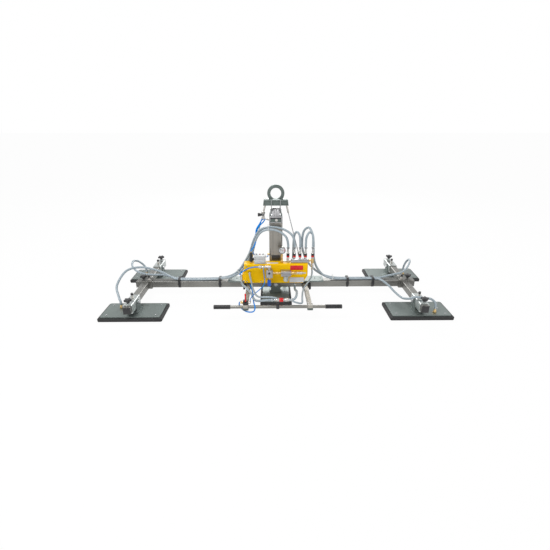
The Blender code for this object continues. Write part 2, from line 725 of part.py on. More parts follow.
def cylinder():
    """Profile barrel with its lower cap, the rod with its piston, and the head."""
    half = CYL_SIDE / 2
    barrel = plate("barrel", [profile_outline(), circle(0, 0, CYL_BORE_R, 28)], "XY",
                   BARREL_LOW_Z - 0.001, BARREL_TOP_Z)
    cap = square("cap", half, half, CYL_CORNER, CAP_LOW_Z, BARREL_LOW_Z)
    gland = rod("gland", (0, 0, CAP_LOW_Z - 0.006), (0, 0, CAP_LOW_Z + 0.002), 0.022, 20)
    bore = rod("bore", (0, 0, CAP_LOW_Z - 0.02), (0, 0, BARREL_LOW_Z + 0.01), ROD_R + GAP, 20)
    done(cut(join(barrel, cap, gland), bore), "cylinder_barrel", "aluminium")

    foot = CARRIER_Z1 + SOCKET_FLOOR + GAP
    profile = [(0, PISTON_Z + PISTON_THICK), (CYL_BORE_R - RUN, PISTON_Z + PISTON_THICK),
               (CYL_BORE_R - RUN, PISTON_Z), (ROD_R, PISTON_Z), (ROD_R, foot), (0, foot)]
    done(turned("rod", profile, (0, 0, 0), (0, 0, 1), 20), "piston_rod", "steel")

    step = half + HEAD_STEP
    low = BARREL_TOP_Z + GAP
    waist = half - HEAD_NECK
    edge = [(half, 0.0), (half, 0.012), (step, 0.014), (step, 0.029), (waist, 0.030), (waist, 0.035),
            (step, 0.036), (step, HEAD_TOP_Z - low)]
    outline = [(u, low + v) for u, v in edge] + [(-u, low + v) for u, v in reversed(edge)]
    head = plate("head", [outline], "XZ", -half, half)
    z = low + HEAD_PORT_HIGH
    port = rod("port", (-half - HEAD_PORT_LONG, HEAD_PORT_Y, z), (-half + 0.010, HEAD_PORT_Y, z),
               HEAD_PORT_R, 12)
    done(join(head, port), "cylinder_head", "aluminium")


def clevis_block():
    """The clevis on the cylinder's head: base plate, rounded shoulders and a ribbed tongue."""
    half = CYL_SIDE / 2
    step = half + HEAD_STEP
    low = HEAD_TOP_Z + GAP
    base = square("base", step, half, 0.006, low, low + CLEVIS_BASE)
    top = low + CLEVIS_BASE - 0.001
    shoulders = plate("shoulders", [[(-step + 0.002, top), (step - 0.002, top)]
                                    + arc(step - 0.014, SHOULDER_Z - 0.012, 0.012, 0, 90, 4)
                                    + arc(-step + 0.014, SHOULDER_Z - 0.012, 0.012, 90, 180, 4)],
                      "XZ", -0.020, half - 0.004)
    tongue = plate("tongue", [[(-0.040, top), (0.040, top), (0.040, PIN_Z - 0.012)]
                              + arc(0.0, PIN_Z - 0.002, TONGUE_R, 20, 160, 8)
                              + [(-0.040, PIN_Z - 0.012)]], "YZ", -TONGUE_HALF, TONGUE_HALF)
    tools = [rod("bore", (-0.05, 0, PIN_Z), (0.05, 0, PIN_Z), PIN_R + GAP, 16)]
    for i in range(RIBS):
        z = top + 0.006 + i * RIB_PITCH
        tools.append(box("rib", (-0.06, 0.06), (-0.06, -0.040 + RIB_DEEP), (z, z + RIB_PITCH / 2)))
    return done(cut(join(base, shoulders, tongue), *tools), "clevis_block", "aluminium")


def rope_line(side):
    top = Vector((side * ROPE_TOP[0], 0, ROPE_TOP[1]))
    low = Vector((side * ROPE_LOW[0], 0, ROPE_LOW[1]))
    return top, low, (low - top).normalized()


def spreader():
    """An upturned channel with sloped ends, the two hanger plates, their pin, and the eye."""
    outline = [(-SPREAD_LOW_HALF, SPREAD_LOW_Z), (SPREAD_LOW_HALF, SPREAD_LOW_Z),
               (SPREAD_TOP_HALF, SPREAD_TOP_Z), (-SPREAD_TOP_HALF, SPREAD_TOP_Z)]
    bar = plate("bar", [outline], "XZ", -SPREAD_DEEP_HALF, SPREAD_DEEP_HALF)
    low, high = SPREAD_LOW_HALF - SPREAD_END, SPREAD_TOP_HALF - SPREAD_END
    inside = [(-low, SPREAD_LOW_Z - 0.01), (low, SPREAD_LOW_Z - 0.01),
              (high, SPREAD_TOP_Z - SPREAD_WALL), (-high, SPREAD_TOP_Z - SPREAD_WALL)]
    deep = SPREAD_DEEP_HALF - SPREAD_WALL
    hollow = plate("hollow", [inside], "XZ", -deep, deep)
    tools = [hollow]
    for side in (-1, 1):
        top, low, down = rope_line(side)
        tools.append(rod("stud_hole", top - down * 0.02, top + down * 0.02, STUD_R + GAP, 12))
    bar = cut(bar, *tools)
    pieces = []
    inner = TONGUE_HALF + RUN
    for side in (-1, 1):
        low, high = sorted((side * inner, side * (inner + HANGER_THICK)))
        outline = ([(-HANGER_DEEP_HALF, HANGER_TOP_Z), (-HANGER_DEEP_HALF, SPREAD_LOW_Z - 0.008)]
                   + arc(0, PIN_Z, TONGUE_R, 200, 340, 7)
                   + [(HANGER_DEEP_HALF, SPREAD_LOW_Z - 0.008), (HANGER_DEEP_HALF, HANGER_TOP_Z)])
        pieces.append(plate("hanger", [outline], "YZ", low, high))
    reach = inner + HANGER_THICK + 0.006
    pieces.append(rod("pin", (-reach, 0, PIN_Z), (reach, 0, PIN_Z), PIN_R, 16))
    eye = plate("eye", [circle(0, EYE_Z, EYE_R, 28), circle(0, EYE_Z, EYE_HOLE_R, 20)], "XZ",
                -EYE_THICK / 2, EYE_THICK / 2)
    pieces.append(eye)
    foot = box("foot", (-EYE_FOOT_HALF, EYE_FOOT_HALF), (-EYE_THICK / 2, EYE_THICK / 2),
               (SPREAD_TOP_Z - WELD, EYE_Z - EYE_R + EYE_FOOT_HIGH))
    foot = cut(foot, rod("round", (0, -EYE_R, EYE_Z), (0, EYE_R, EYE_Z), EYE_R - EYE_WELD, 28))
    return done(join(bar, *pieces, foot), "spreader", "zinc")


def rope(side, name):
    """A wire rope with swaged ends; its upper stud passes the spreader and has a head on top."""
    top, low, down = rope_line(side)
    length = (low - top).length
    head_low = -ROPE_HEAD_LIFT
    head_top = head_low - ROPE_HEAD_HIGH
    stud_end = STUD_LONG + SWAGE_TAPER / 2
    swage_end = stud_end + SWAGE_LONG
    profile = [(0, head_top), (ROPE_HEAD_R, head_top), (ROPE_HEAD_R, head_low), (STUD_R, head_low),
               (STUD_R, STUD_LONG), (SWAGE_R, stud_end), (SWAGE_R, swage_end),
               (ROPE_R, swage_end + SWAGE_TAPER), (ROPE_R, length - SWAGE_LONG - SWAGE_TAPER),
               (SWAGE_R, length - SWAGE_LONG), (SWAGE_R, length), (0, length)]
    return done(turned("rope", profile, top, down, 10), name, "steel")


def tank():
    """The yellow vacuum tank with its bevelled lower corner, side tab and fittings."""
    dx, dz = TANK_CHAMFER
    outline = [(TANK_X0, TANK_Z0), (TANK_X1 - dx, TANK_Z0), (TANK_X1, TANK_Z0 + dz),
               (TANK_X1, TANK_Z1), (TANK_X0, TANK_Z1)]
    shell = plate("shell", [outline], "XZ", TANK_Y0, TANK_Y1, TANK_ROUND)
    around = box("around", (SEAM_X, SEAM_X + SEAM), (TANK_Y0 - SEAM, TANK_Y1 + SEAM),
                 (TANK_Z0 - SEAM, TANK_Z1 + SEAM))
    core = box("core", (SEAM_X - SEAM, SEAM_X + 2 * SEAM), (TANK_Y0 + SEAM, TANK_Y1 - SEAM),
               (TANK_Z0 + SEAM, TANK_Z1 - SEAM))
    shell = cut(shell, cut(around, core))
    x, y = TANK_FITTING
    tab = box("tab", (TANK_X0 - TAB_WIDE, TANK_X0 + WELD), (TANK_Y0 + 0.010, TANK_Y1 - 0.006),
              (TAB_Z0, TAB_Z1))
    fitting = rod("fitting", (x, y, TAB_Z0 - FITTING_PROUD), (x, y, TAB_Z1 - 0.012),
                  TANK_FITTING_R + 0.003, 12)
    under_z = TANK_Z0 - UNDER_LONG
    under = rod("under", (*UNDER_FITTING, under_z), (*UNDER_FITTING, TANK_Z0 + WELD), TANK_FITTING_R, 12)
    w = TANK_WALL
    inside = [(TANK_X0 + w, TANK_Z0 + w), (TANK_X1 - dx - w, TANK_Z0 + w), (TANK_X1 - w, TANK_Z0 + dz),
              (TANK_X1 - w, TANK_Z1 - w), (TANK_X0 + w, TANK_Z1 - w)]
    hollow = plate("hollow", [inside], "XZ", TANK_Y0 + w, TANK_Y1 - w)
    port = rod("port", (*UNDER_FITTING, under_z - w), (*UNDER_FITTING, TANK_Z0 + 2 * w), TANK_PORT_R, 8)
    return done(cut(join(shell, tab, fitting, under), hollow, port), "tank", "yellow")


def control_box():
    shell = box("box", (CBOX_X0, CBOX_X1), (CBOX_Y0, CBOX_Y1), (TANK_Z1 + GAP, CBOX_TOP), 0.004)
    plug = rod("plug", (CBOX_X0 - CBOX_PLUG_LONG, CBOX_PLUG_Y, CBOX_PLUG_Z),
               (CBOX_X0 + 2 * WELD, CBOX_PLUG_Y, CBOX_PLUG_Z), CBOX_PLUG_R, 12)
    return done(join(shell, plug), "control_box", "white")


def manifold():
    """The distribution block with the cores, nuts and hose tails of the five slide valves."""
    y0, y1 = ROW_Y - MANIFOLD_HALF, ROW_Y + MANIFOLD_HALF
    block = box("block", (MANIFOLD_X0, MANIFOLD_X1), (y0, y1), (TANK_Z1 + GAP, MANIFOLD_TOP), 0.002)
    pieces = []
    for i, x in enumerate(VALVE_X):
        low = ELBOW_LOW_Z if i == len(VALVE_X) - 1 else TANK_Z1 + 0.004
        pieces.append(rod("core", (x, ROW_Y, low), (x, ROW_Y, TAIL_Z), CORE_R, 8))
        pieces.append(rod("nut", (x, ROW_Y, MANIFOLD_TOP - 0.002), (x, ROW_Y, VALVE_NUT_Z), NUT_R, 6))
        pieces.append(rod("collar", (x, ROW_Y, VALVE_TOP_NUT_Z), (x, ROW_Y, VALVE_TOP_NUT_Z + COLLAR_HIGH),
                          NUT_R, 6))
    first, last = VALVE_X[0], VALVE_X[-1]
    pieces.append(rod("tee", (first, ROW_Y, TANK_Z1 + GAP), (first, ROW_Y, MANIFOLD_TOP), TEE_R, 10))
    pieces.append(rod("link", (first, ROW_Y, LINK_Z), (MANIFOLD_X0 + WELD, ROW_Y, LINK_Z), LINK_R, 8))
    pieces.append(rod("branch", (MANIFOLD_X1 - WELD, ROW_Y, BRANCH_Z), (last, ROW_Y, BRANCH_Z), BRANCH_R, 8))
    pieces.append(rod("elbow", (last, ROW_Y, ELBOW_LOW_Z + 0.015), (last, ROW_Y, MANIFOLD_TOP), TEE_R, 10))
    return done(join(block, *pieces), "manifold", "aluminium")


def valve_sleeves():
    """The five hand sleeves: each slides up its core to vent one pad's line."""
    low = VALVE_NUT_Z + GAP
    for i, x in enumerate(VALVE_X):
        sleeve = rod("sleeve", (x, ROW_Y, low), (x, ROW_Y, low + VALVE_SLEEVE_LONG), VALVE_SLEEVE_R, 12)
        bore = rod("bore", (x, ROW_Y, low - 0.01), (x, ROW_Y, low + VALVE_SLEEVE_LONG + 0.01), CORE_R + GAP, 8)
        done(cut(sleeve, bore), f"valve_sleeve_{i + 1}", "black", (x, ROW_Y, low))


def gauge():
    """The vacuum gauge: a cup-shaped case on a stem, and its pointer in front of the dial."""
    depth = GAUGE_Y1 - GAUGE_Y0
    inner = GAUGE_R - GAUGE_LIP
    profile = [(0, depth), (GAUGE_R - 0.003, depth), (GAUGE_R, depth - 0.003), (GAUGE_R, 0.001),
               (GAUGE_R - 0.001, 0), (inner, 0), (inner, GAUGE_DEEP), (0, GAUGE_DEEP)]
    case = turned("case", profile, (GAUGE_X, GAUGE_Y0, GAUGE_Z), (0, 1, 0), 22)
    y = (GAUGE_Y0 + GAUGE_Y1) / 2 + 0.004
    stem = rod("stem", (GAUGE_X, y, TANK_Z1 + GAP), (GAUGE_X, y, GAUGE_Z - GAUGE_R + 0.003), GAUGE_STEM_R, 10)
    nut = rod("nut", (GAUGE_X, y, TANK_Z1 + GAP), (GAUGE_X, y, TANK_Z1 + 0.024), 0.010, 6)
    done(join(case, stem, nut), "gauge_case", "steel")
    face = GAUGE_Y0 + GAUGE_DEEP - GAP
    hub = rod("hub", (GAUGE_X, face, GAUGE_Z), (GAUGE_X, face - 0.003, GAUGE_Z), 0.0035, 12)
    lean = math.radians(150)
    tip = (GAUGE_X + 0.018 * math.cos(lean), GAUGE_Z + 0.018 * math.sin(lean))
    tail = (GAUGE_X - 0.007 * math.cos(lean), GAUGE_Z - 0.007 * math.sin(lean))
    side = (0.0011 * math.sin(lean), -0.0011 * math.cos(lean))
    outline = [tip, (tail[0] + side[0], tail[1] + side[1]), (tail[0] - side[0], tail[1] - side[1])]
    needle = plate("needle", [outline], "XZ", face - 0.0022, face - 0.0010)
    done(join(hub, needle), "gauge_pointer", "black", (GAUGE_X, face, GAUGE_Z))


def air_unit():
    """Inlet tee, regulator, silencer, filter and couplings, screwed together as one run."""
    y, z = LINE_Y, LINE_Z
    block = box("block", (REG_X0, REG_X1), (REG_Y0, TANK_Y0 - GAP), (REG_Z0, REG_Z1), 0.003)
    stops = [(REG_X1 - 0.004, 0.006), (0.010, 0.0085), (FILTER_X0 + 0.002, 0.0065),
             (FILTER_X1 - 0.002, 0.011), (0.1602, 0.0075), (0.176, 0.0095), (0.190, 0.0060), (0.2138, 0.0)]
    pieces = []
    for (x0, radius), (x1, _) in zip(stops, stops[1:]):
        pieces.append(rod("line", (x0 - 0.001, y, z), (x1, y, z), radius, 10))
    pieces.append(box("body", (FILTER_X0, FILTER_X1), (y - 0.018, TANK_Y0 - GAP), (0.2126, 0.252), 0.003))
    bowl_x = (FILTER_X0 + FILTER_X1) / 2
    pieces.append(rod("bowl", (bowl_x, y, 0.2140), (bowl_x, y, BOWL_LOW_Z + 0.006), BOWL_R, 14))
    pieces.append(rod("bowl_end", (bowl_x, y, BOWL_LOW_Z + 0.007), (bowl_x, y, BOWL_LOW_Z), BOWL_R, 14,
                      BOWL_R - 0.007))
    pieces.append(rod("neck", (SILENCER_X, y, REG_Z0 + 0.002), (SILENCER_X, y, 0.184), 0.007, 12))
    pieces.append(rod("silencer", (SILENCER_X, y, 0.186), (SILENCER_X, y, SILENCER_LOW_Z), SILENCER_R, 14))
    pieces.append(rod("riser", (SILENCER_X, y, REG_Z1 - 0.002), (SILENCER_X, y, INLET_Z + 0.004), 0.008, 12))
    pieces.append(rod("tee", (-0.125, y, INLET_Z), (SILENCER_X + 0.014, y, INLET_Z), 0.009, 12))
    pieces.append(rod("tee_nut", (-0.118, y, INLET_Z), (-0.100, y, INLET_Z), 0.0115, 6))
    return done(join(block, *pieces), "air_unit", "brass")


def supply_valve():
    """The ball valve clamped on the left rope's swage, and its lever."""
    top, low, down = rope_line(-1)
    seat = top + down * ((top.z - SUPPLY_Z) / -down.z)
    x, y = seat.x, SUPPLY_FRONT
    collar = rod("collar", seat - down * 0.009, seat + down * 0.009, 0.013, 16)
    body = rod("body", (x, y, SUPPLY_Z + 0.018), (x, y, SUPPLY_Z - 0.020), SUPPLY_R, 14)
    web = box("web", (x - 0.006, x + 0.006), (y, -0.006), (SUPPLY_Z - 0.007, SUPPLY_Z + 0.007))
    tails = [rod("tail", (x + 0.004, y, SUPPLY_Z - 0.018), (x + 0.012, y, SUPPLY_Z - 0.040), 0.006, 12)]
    front = y - SUPPLY_R - 0.006
    stem = rod("stem", (x, y, SUPPLY_Z), (x, front, SUPPLY_Z), 0.006, 12)
    valve = cut(join(collar, body, web, stem, *tails),
                rod("bore", seat - down * 0.03, seat + down * 0.03, SWAGE_R + GAP, 12))
    done(valve, "supply_valve", "brass")
    seat = (x, front - GAP, SUPPLY_Z)
    blade = arc(0.0, 0.0, 0.009, -60, 60, 4) + [(-0.034, 0.006), (-0.037, 0.0), (-0.034, -0.006)]
    outline = [(x + u, SUPPLY_Z + v) for u, v in blade]
    lever = plate("lever", [outline], "XZ", seat[1] - 0.004, seat[1])
    return done(lever, "supply_lever", "black", seat)


def handle():
    """The handle: two arms hinged on the load beam's ears, the bar with its grips, the valves."""
    for side, word in ((-1, "left"), (1, "right")):
        x = HANDLE_X + side * ARM_X
        arm = square_bar("arm", (x, HINGE_Y, HINGE_Z), (x, BAR_Y, BAR_Z), ARM_HALF)
        eye = rod("eye", (x - ARM_HALF, HINGE_Y, HINGE_Z), (x + ARM_HALF, HINGE_Y, HINGE_Z), ARM_EYE_R, 14)
        clamp = box("clamp", (x - CLAMP_HALF, x + CLAMP_HALF), (BAR_Y - CLAMP_HALF, BAR_Y + CLAMP_HALF),
                    (BAR_Z - CLAMP_HALF, BAR_Z + CLAMP_HALF), 0.003)
        reach = 2 * CLAMP_HALF
        bores = [rod("bore", (x - reach, BAR_Y, BAR_Z), (x + reach, BAR_Y, BAR_Z), BAR_R + GAP, 16),
                 rod("bolt", (x - reach, HINGE_Y, HINGE_Z), (x + reach, HINGE_Y, HINGE_Z),
                     HINGE_BOLT_R + GAP, 12)]
        done(cut(join(arm, eye, clamp), *bores), f"handle_arm_{word}", "aluminium", (x, HINGE_Y, HINGE_Z))
        hinge_knob(side, word)
    bar_profile = [(0, -BAR_HALF), (GRIP_R - 0.002, -BAR_HALF), (GRIP_R, 0.002 - BAR_HALF),
                   (GRIP_R, GRIP_LONG - BAR_HALF), (BAR_R, GRIP_LONG - BAR_HALF)]
    profile = bar_profile + [(r, -h) for r, h in reversed(bar_profile)]
    done(turned("bar", profile, (HANDLE_X, BAR_Y, BAR_Z), (1, 0, 0), 16), "handle_bar", "aluminium",
         (HANDLE_X, BAR_Y, BAR_Z))


def hinge_knob(side, word):
    """The clamp knob of one arm: its bolt runs through the arm's eye into the beam's ear."""
    x = HANDLE_X + side * (ARM_X - ARM_HALF - RUN - EAR_THICK)
    stem = 2 * ARM_HALF + 2 * RUN + EAR_THICK + 0.0005
    star_knob(f"handle_knob_{word}", (x, HINGE_Y, HINGE_Z), (side, 0, 0), stem)


def handle_valves():
    """The hand lever valve on the left clamp and the hand slide valve on its stalk."""
    x = HANDLE_X - ARM_X
    top = BAR_Z + CLAMP_HALF + GAP
    base = box("base", (x - LEVER_BASE_HALF, x + LEVER_BASE_HALF), (BAR_Y - 0.014, BAR_Y + 0.014),
               (top, top + LEVER_BASE_HIGH), 0.002)
    z = top + STUB_HIGH
    stubs = [rod("stub", (x, BAR_Y, z), (x + side * STUB_LONG, BAR_Y, z), STUB_R, 12) for side in (-1, 1)]
    slot = box("slot", (x - 0.006, x + 0.006), (BAR_Y - 0.013, BAR_Y + 0.013),
               (top + LEVER_BASE_HIGH - 0.012, top + 2 * LEVER_BASE_HIGH))
    pivot_z = top + LEVER_BASE_HIGH - LEVER_DROP
    done(cut(join(base, *stubs), slot), "lever_valve", "black")
    tip_z = pivot_z + LEVER_LONG
    lever = join(rod("hub", (x - 0.0055, BAR_Y, pivot_z), (x + 0.0055, BAR_Y, pivot_z), 0.0058, 14),
                 rod("blade", (x, BAR_Y, pivot_z), (x, BAR_Y, tip_z), 0.0040, 12, 0.0060),
                 rod("tip", (x, BAR_Y, tip_z - WELD), (x, BAR_Y, tip_z + 0.006), 0.0060, 12, 0.0035))
    done(lever, "red_lever", "red", (x, BAR_Y, pivot_z))

    def along_bar(name, x0, x1, z, radius, sides):
        return rod(name, (x0, BAR_Y, z), (x1, BAR_Y, z), radius, sides)

    stalk = rod("stalk", (STALK_X, BAR_Y, BAR_Z), (STALK_X, BAR_Y, HAND_VALVE_Z), STALK_R, 12)
    ring = along_bar("ring", STALK_X - 0.010, STALK_X + 0.010, BAR_Z, BAR_R + 0.005, 14)
    bore = along_bar("bore", STALK_X - 0.020, STALK_X + 0.020, BAR_Z, BAR_R + GAP, 16)
    z = HAND_VALVE_Z
    core = along_bar("core", HAND_VALVE_X0, HAND_VALVE_X1, z, HAND_CORE_R, 14)
    sleeve_stop = HAND_SLEEVE_X1 + HAND_TRAVEL + GAP
    ends = [along_bar("end", HAND_VALVE_X0 + 0.006, HAND_SLEEVE_X0 - GAP, z, HAND_END_R, 12),
            along_bar("end", sleeve_stop, HAND_VALVE_X1 - 0.008, z, HAND_END_R, 12)]
    done(join(cut(join(ring, stalk), bore), core, *ends), "slide_valve", "steel")
    sleeve = along_bar("sleeve", HAND_SLEEVE_X0, HAND_SLEEVE_X1, z, HAND_SLEEVE_R, 18)
    bore = along_bar("bore", HAND_VALVE_X0, HAND_VALVE_X1, z, HAND_CORE_R + GAP, 14)
    done(cut(sleeve, bore), "slide_sleeve", "red", (HAND_SLEEVE_X0, BAR_Y, z))


def nipple_place(side, end):
    inward = NIPPLE_IN_FRONT_RIGHT if (side, end) == (1, -1) else NIPPLE_IN
    return side * (CROSS_X + NIPPLE_OUT), end * (PAD_Y - inward)


def hoses():
    """The vacuum hoses, each from its slide valve to its pad, and the two handle hoses."""
    start = TAIL_Z + GAP
    end = NIPPLE_TOP + GAP
    deck, front, rear = HOSE_ON_BEAM, FRONT_LANE_Y, REAR_LANE_Y
    v1, v2, v3, v4, v5 = VALVE_X
    fl, rl = nipple_place(-1, -1), nipple_place(-1, 1)
    fr, rr = nipple_place(1, -1), nipple_place(1, 1)
    done(hose("h", [
        (v1, ROW_Y, start), (v1, ROW_Y, 0.430), (0.070, -0.094, 0.485), (0.015, -0.097, 0.527),
        (-0.055, -0.098, 0.5385), (-0.112, -0.092, 0.512), (-0.150, -0.075, 0.440), (-0.178, -0.055, 0.345),
        (-0.215, -0.036, 0.262), (-0.268, -0.026, 0.190), (-0.335, -0.018, 0.1475),
        (-0.4235, front, deck + 0.006), (-0.500, front, deck + 0.002), (STRAP_LEFT_X, front, deck + 0.002),
        (-0.800, -0.018, 0.155), (-0.870, -0.022, 0.197),
        (-0.990, -0.045, 0.238), (-1.085, -0.100, 0.232), (-1.125, -0.200, 0.165), (-1.100, -0.262, 0.110),
        (*fl, 0.080), (*fl, end)]), "hose_front_left", "hose")
    done(hose("h", [
        (v2, ROW_Y, start), (v2, ROW_Y, 0.435), (0.112, -0.089, 0.497), (0.040, -0.080, 0.540),
        (-0.052, -0.078, 0.550), (-0.118, -0.072, 0.522), (-0.160, -0.056, 0.445), (-0.190, -0.036, 0.350),
        (-0.234, -0.018, 0.262), (-0.280, -0.006, 0.193), (-0.338, 0.001, 0.1495),
        (-0.4235, rear, deck + 0.006), (-0.500, rear, deck + 0.002), (STRAP_LEFT_X, rear, deck + 0.002),
        (-0.800, 0.010, 0.1345), (-0.865, 0.018, 0.144),
        (-0.945, 0.034, 0.1405), (-1.020, 0.058, 0.1415), (-1.090, 0.100, 0.150), (-1.140, 0.160, 0.168),
        (-1.150, 0.222, 0.184), (-1.128, 0.264, 0.168), (-1.094, 0.285, 0.125), (*rl, 0.085), (*rl, end)]),
        "hose_rear_left", "hose")
    done(hose("h", [
        (v3, ROW_Y, start), (v3, ROW_Y, 0.440), (0.168, -0.088, 0.490), (0.150, -0.075, 0.514),
        (0.133, -0.060, 0.490), (0.128, -0.050, 0.440), (0.127, -0.040, 0.360), (0.126, -0.032, 0.290),
        (0.124, -0.008, 0.240), (0.117, 0.036, 0.200), (0.104, 0.072, 0.165), (0.085, 0.098, 0.125),
        (0.071, 0.110, 0.092), (*CENTRE_NIPPLE, 0.074), (*CENTRE_NIPPLE, end)]), "hose_centre", "hose")
    done(hose("h", [
        (v4, ROW_Y, start), (v4, ROW_Y, 0.430), (0.218, -0.089, 0.476), (0.238, -0.078, 0.501),
        (0.262, -0.060, 0.484), (0.272, -0.048, 0.430), (0.275, -0.041, 0.380), (0.281, -0.037, 0.300),
        (0.302, -0.033, 0.235), (0.345, -0.029, 0.175), (0.400, -0.023, 0.140), (0.460, -0.016, 0.1280),
        (0.546, front, deck + 0.002), (STRAP_RIGHT_X, front, deck + 0.002), (0.790, -0.032, 0.127),
        (0.835, -0.090, 0.108), (0.868, -0.170, 0.084), (0.893, -0.250, 0.080), (0.918, -0.316, 0.106),
        (0.946, -0.342, 0.1330), (0.990, -0.354, 0.1340), (1.045, -0.357, 0.126), (1.074, -0.370, 0.104),
        (*fr, 0.080), (*fr, end)]), "hose_front_right", "hose")
    done(hose("h", [
        (v5, ROW_Y, start), (v5, ROW_Y, 0.440), (0.259, -0.084, 0.505), (0.238, -0.050, 0.548),
        (0.206, -0.028, 0.520), (0.192, -0.022, 0.450), (0.198, -0.022, 0.360), (0.234, -0.020, 0.272),
        (0.290, -0.012, 0.205), (0.345, -0.004, 0.162), (0.400, 0.000, 0.139), (0.460, 0.0020, 0.1280),
        (0.546, rear, deck + 0.002), (STRAP_RIGHT_X, rear, deck + 0.002), (0.800, 0.006, 0.1245),
        (0.870, 0.014, 0.132), (0.925, 0.028, 0.138), (0.985, 0.062, 0.142), (1.040, 0.120, 0.155),
        (1.085, 0.190, 0.178), (1.098, 0.245, 0.180), (1.090, 0.280, 0.145), (*rr, 0.095), (*rr, end)]),
        "hose_rear_right", "hose")
    x, y = TANK_FITTING
    left_end = (HAND_VALVE_X0 - GAP, BAR_Y, HAND_VALVE_Z)
    done(hose("h", [
        (x, y, TAB_Z0 - FITTING_PROUD - GAP), (x, y, 0.147), (x, y - 0.014, 0.134),
        (-0.238, -0.140, 0.132), (-0.206, -0.200, 0.134),
        (-0.172, -0.280, 0.129), (-0.152, -0.350, 0.126), (-0.125, -0.395, 0.135), (-0.082, -0.415, 0.149),
        (-0.040, BAR_Y, HAND_VALVE_Z), left_end]), "hose_handle_left", "hose")
    right_end = (HAND_VALVE_X1 + GAP, BAR_Y, HAND_VALVE_Z)
    ux, uy = UNDER_FITTING
    done(hose("h", [
        right_end, (0.100, BAR_Y, HAND_VALVE_Z), (0.118, -0.410, 0.156), (0.132, -0.375, 0.158),
        (0.141, -0.300, 0.148), (0.143, -0.220, 0.126), (0.142, -0.155, 0.098), (0.140, -0.116, 0.088),
        (ux, uy - 0.004, 0.096), (ux, uy, 0.113), (ux, uy, TANK_Z0 - UNDER_LONG - GAP)]),
        "hose_handle_right", "hose")


def pads():
    for side, word in ((-1, "left"), (1, "right")):
        for end, place in ((-1, "front"), (1, "rear")):
            label = f"{place}_{word}"
            x, y = side * CROSS_X, end * PAD_Y
            pad(x, y, nipple_place(side, end), f"pad_{label}")
            pad_seal(x, y, f"pad_seal_{label}")
            pad_sleeve(side, end, f"pad_sleeve_{label}")
            star_knob(f"pad_knob_{label}", (x, y + end * STAR_OUT, BEAM_Z1 + GAP), (0, 0, 1), 0.016)
    pad(0, 0, CENTRE_NIPPLE, "pad_centre", True)
    pad_seal(0, 0, "pad_seal_centre", True)


def beams():
    main_beam()
    for side, word in ((-1, "left"), (1, "right")):
        cross_beam(side, f"cross_beam_{word}")
        seat = (side * (CROSS_X + SLIDER_STAR_OUT), 0, BEAM_Z1 + GAP)
        star_knob(f"cross_knob_{word}", seat, (0, 0, 1), 0.012)


beams()
pads()
carrier()
cylinder()
clevis_block()
spreader()
rope(-1, "rope_left")
rope(1, "rope_right")
tank()
control_box()
manifold()
valve_sleeves()
gauge()
air_unit()
supply_valve()
handle()
handle_valves()
hoses()
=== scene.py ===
# %% [markdown]
# # A pneumatic vacuum lifter, dressed around its solids
# The imported solids already have every size, every joint and the main shapes. What a solid can't
# carry is added here: finishes with grain, wear and painted edge highlights, smooth hoses, wire
# ropes, fittings and bolts.
# The solids are loaded first.

# %% Load the solids
import math

import bmesh
import bpy
from mathutils import Matrix, Vector


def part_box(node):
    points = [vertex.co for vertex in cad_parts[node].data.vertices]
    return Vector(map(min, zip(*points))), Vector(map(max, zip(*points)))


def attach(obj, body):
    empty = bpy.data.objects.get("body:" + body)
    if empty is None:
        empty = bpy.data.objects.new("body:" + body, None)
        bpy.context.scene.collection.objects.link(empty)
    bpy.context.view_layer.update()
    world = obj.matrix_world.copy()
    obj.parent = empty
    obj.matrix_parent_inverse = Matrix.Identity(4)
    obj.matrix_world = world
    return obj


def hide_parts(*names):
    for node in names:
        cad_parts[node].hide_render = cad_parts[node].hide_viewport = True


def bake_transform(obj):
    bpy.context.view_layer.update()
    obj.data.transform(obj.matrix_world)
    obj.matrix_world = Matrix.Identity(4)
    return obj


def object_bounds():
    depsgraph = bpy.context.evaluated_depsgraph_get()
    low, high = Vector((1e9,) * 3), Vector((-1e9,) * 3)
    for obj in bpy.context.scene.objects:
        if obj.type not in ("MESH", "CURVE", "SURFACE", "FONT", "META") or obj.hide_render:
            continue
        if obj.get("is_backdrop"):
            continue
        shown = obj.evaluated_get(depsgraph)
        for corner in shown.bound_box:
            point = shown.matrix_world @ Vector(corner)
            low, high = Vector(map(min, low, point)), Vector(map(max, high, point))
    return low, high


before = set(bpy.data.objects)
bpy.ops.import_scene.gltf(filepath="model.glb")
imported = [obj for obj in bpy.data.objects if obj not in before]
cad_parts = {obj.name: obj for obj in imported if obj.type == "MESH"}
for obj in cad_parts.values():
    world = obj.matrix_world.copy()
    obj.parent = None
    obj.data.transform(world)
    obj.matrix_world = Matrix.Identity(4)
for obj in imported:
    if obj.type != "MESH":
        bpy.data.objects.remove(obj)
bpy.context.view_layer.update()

# %% [markdown]
# ## The camera, the floor and the lights
# The lifter was seen from in front and from above eye level, with a lens of normal width. The floor
# and the sky are white to the camera and to anything that mirrors them, and they give only plain
# soft light, so that each colour shows about as it is written.

# %% Camera
PITCH, YAW = math.radians(23.27), math.radians(-0.64)


def put(name, data):
    """An object in the scene for some data."""
    obj = bpy.data.objects.new(name, data)
    bpy.context.scene.collection.objects.link(obj)
    return obj


camera = put("camera", bpy.data.cameras.new("camera"))
camera.location = (-0.0345, -2.583, 1.263)
camera.rotation_euler = (math.pi / 2 - PITCH, 0, YAW)
camera.data.sensor_width = 36.0
camera.data.lens = 369.3 / 550 * camera.data.sensor_width
bpy.context.scene.camera = camera
bpy.context.scene.view_settings.view_transform = "Standard"
print("lens", round(camera.data.lens, 2), "mm")

# %% [markdown]
# Shader maths reads best as plain expressions. The first class wraps a socket, and its operators add
# the Math nodes. The second class is a finish being made. One function adds any node to any tree.

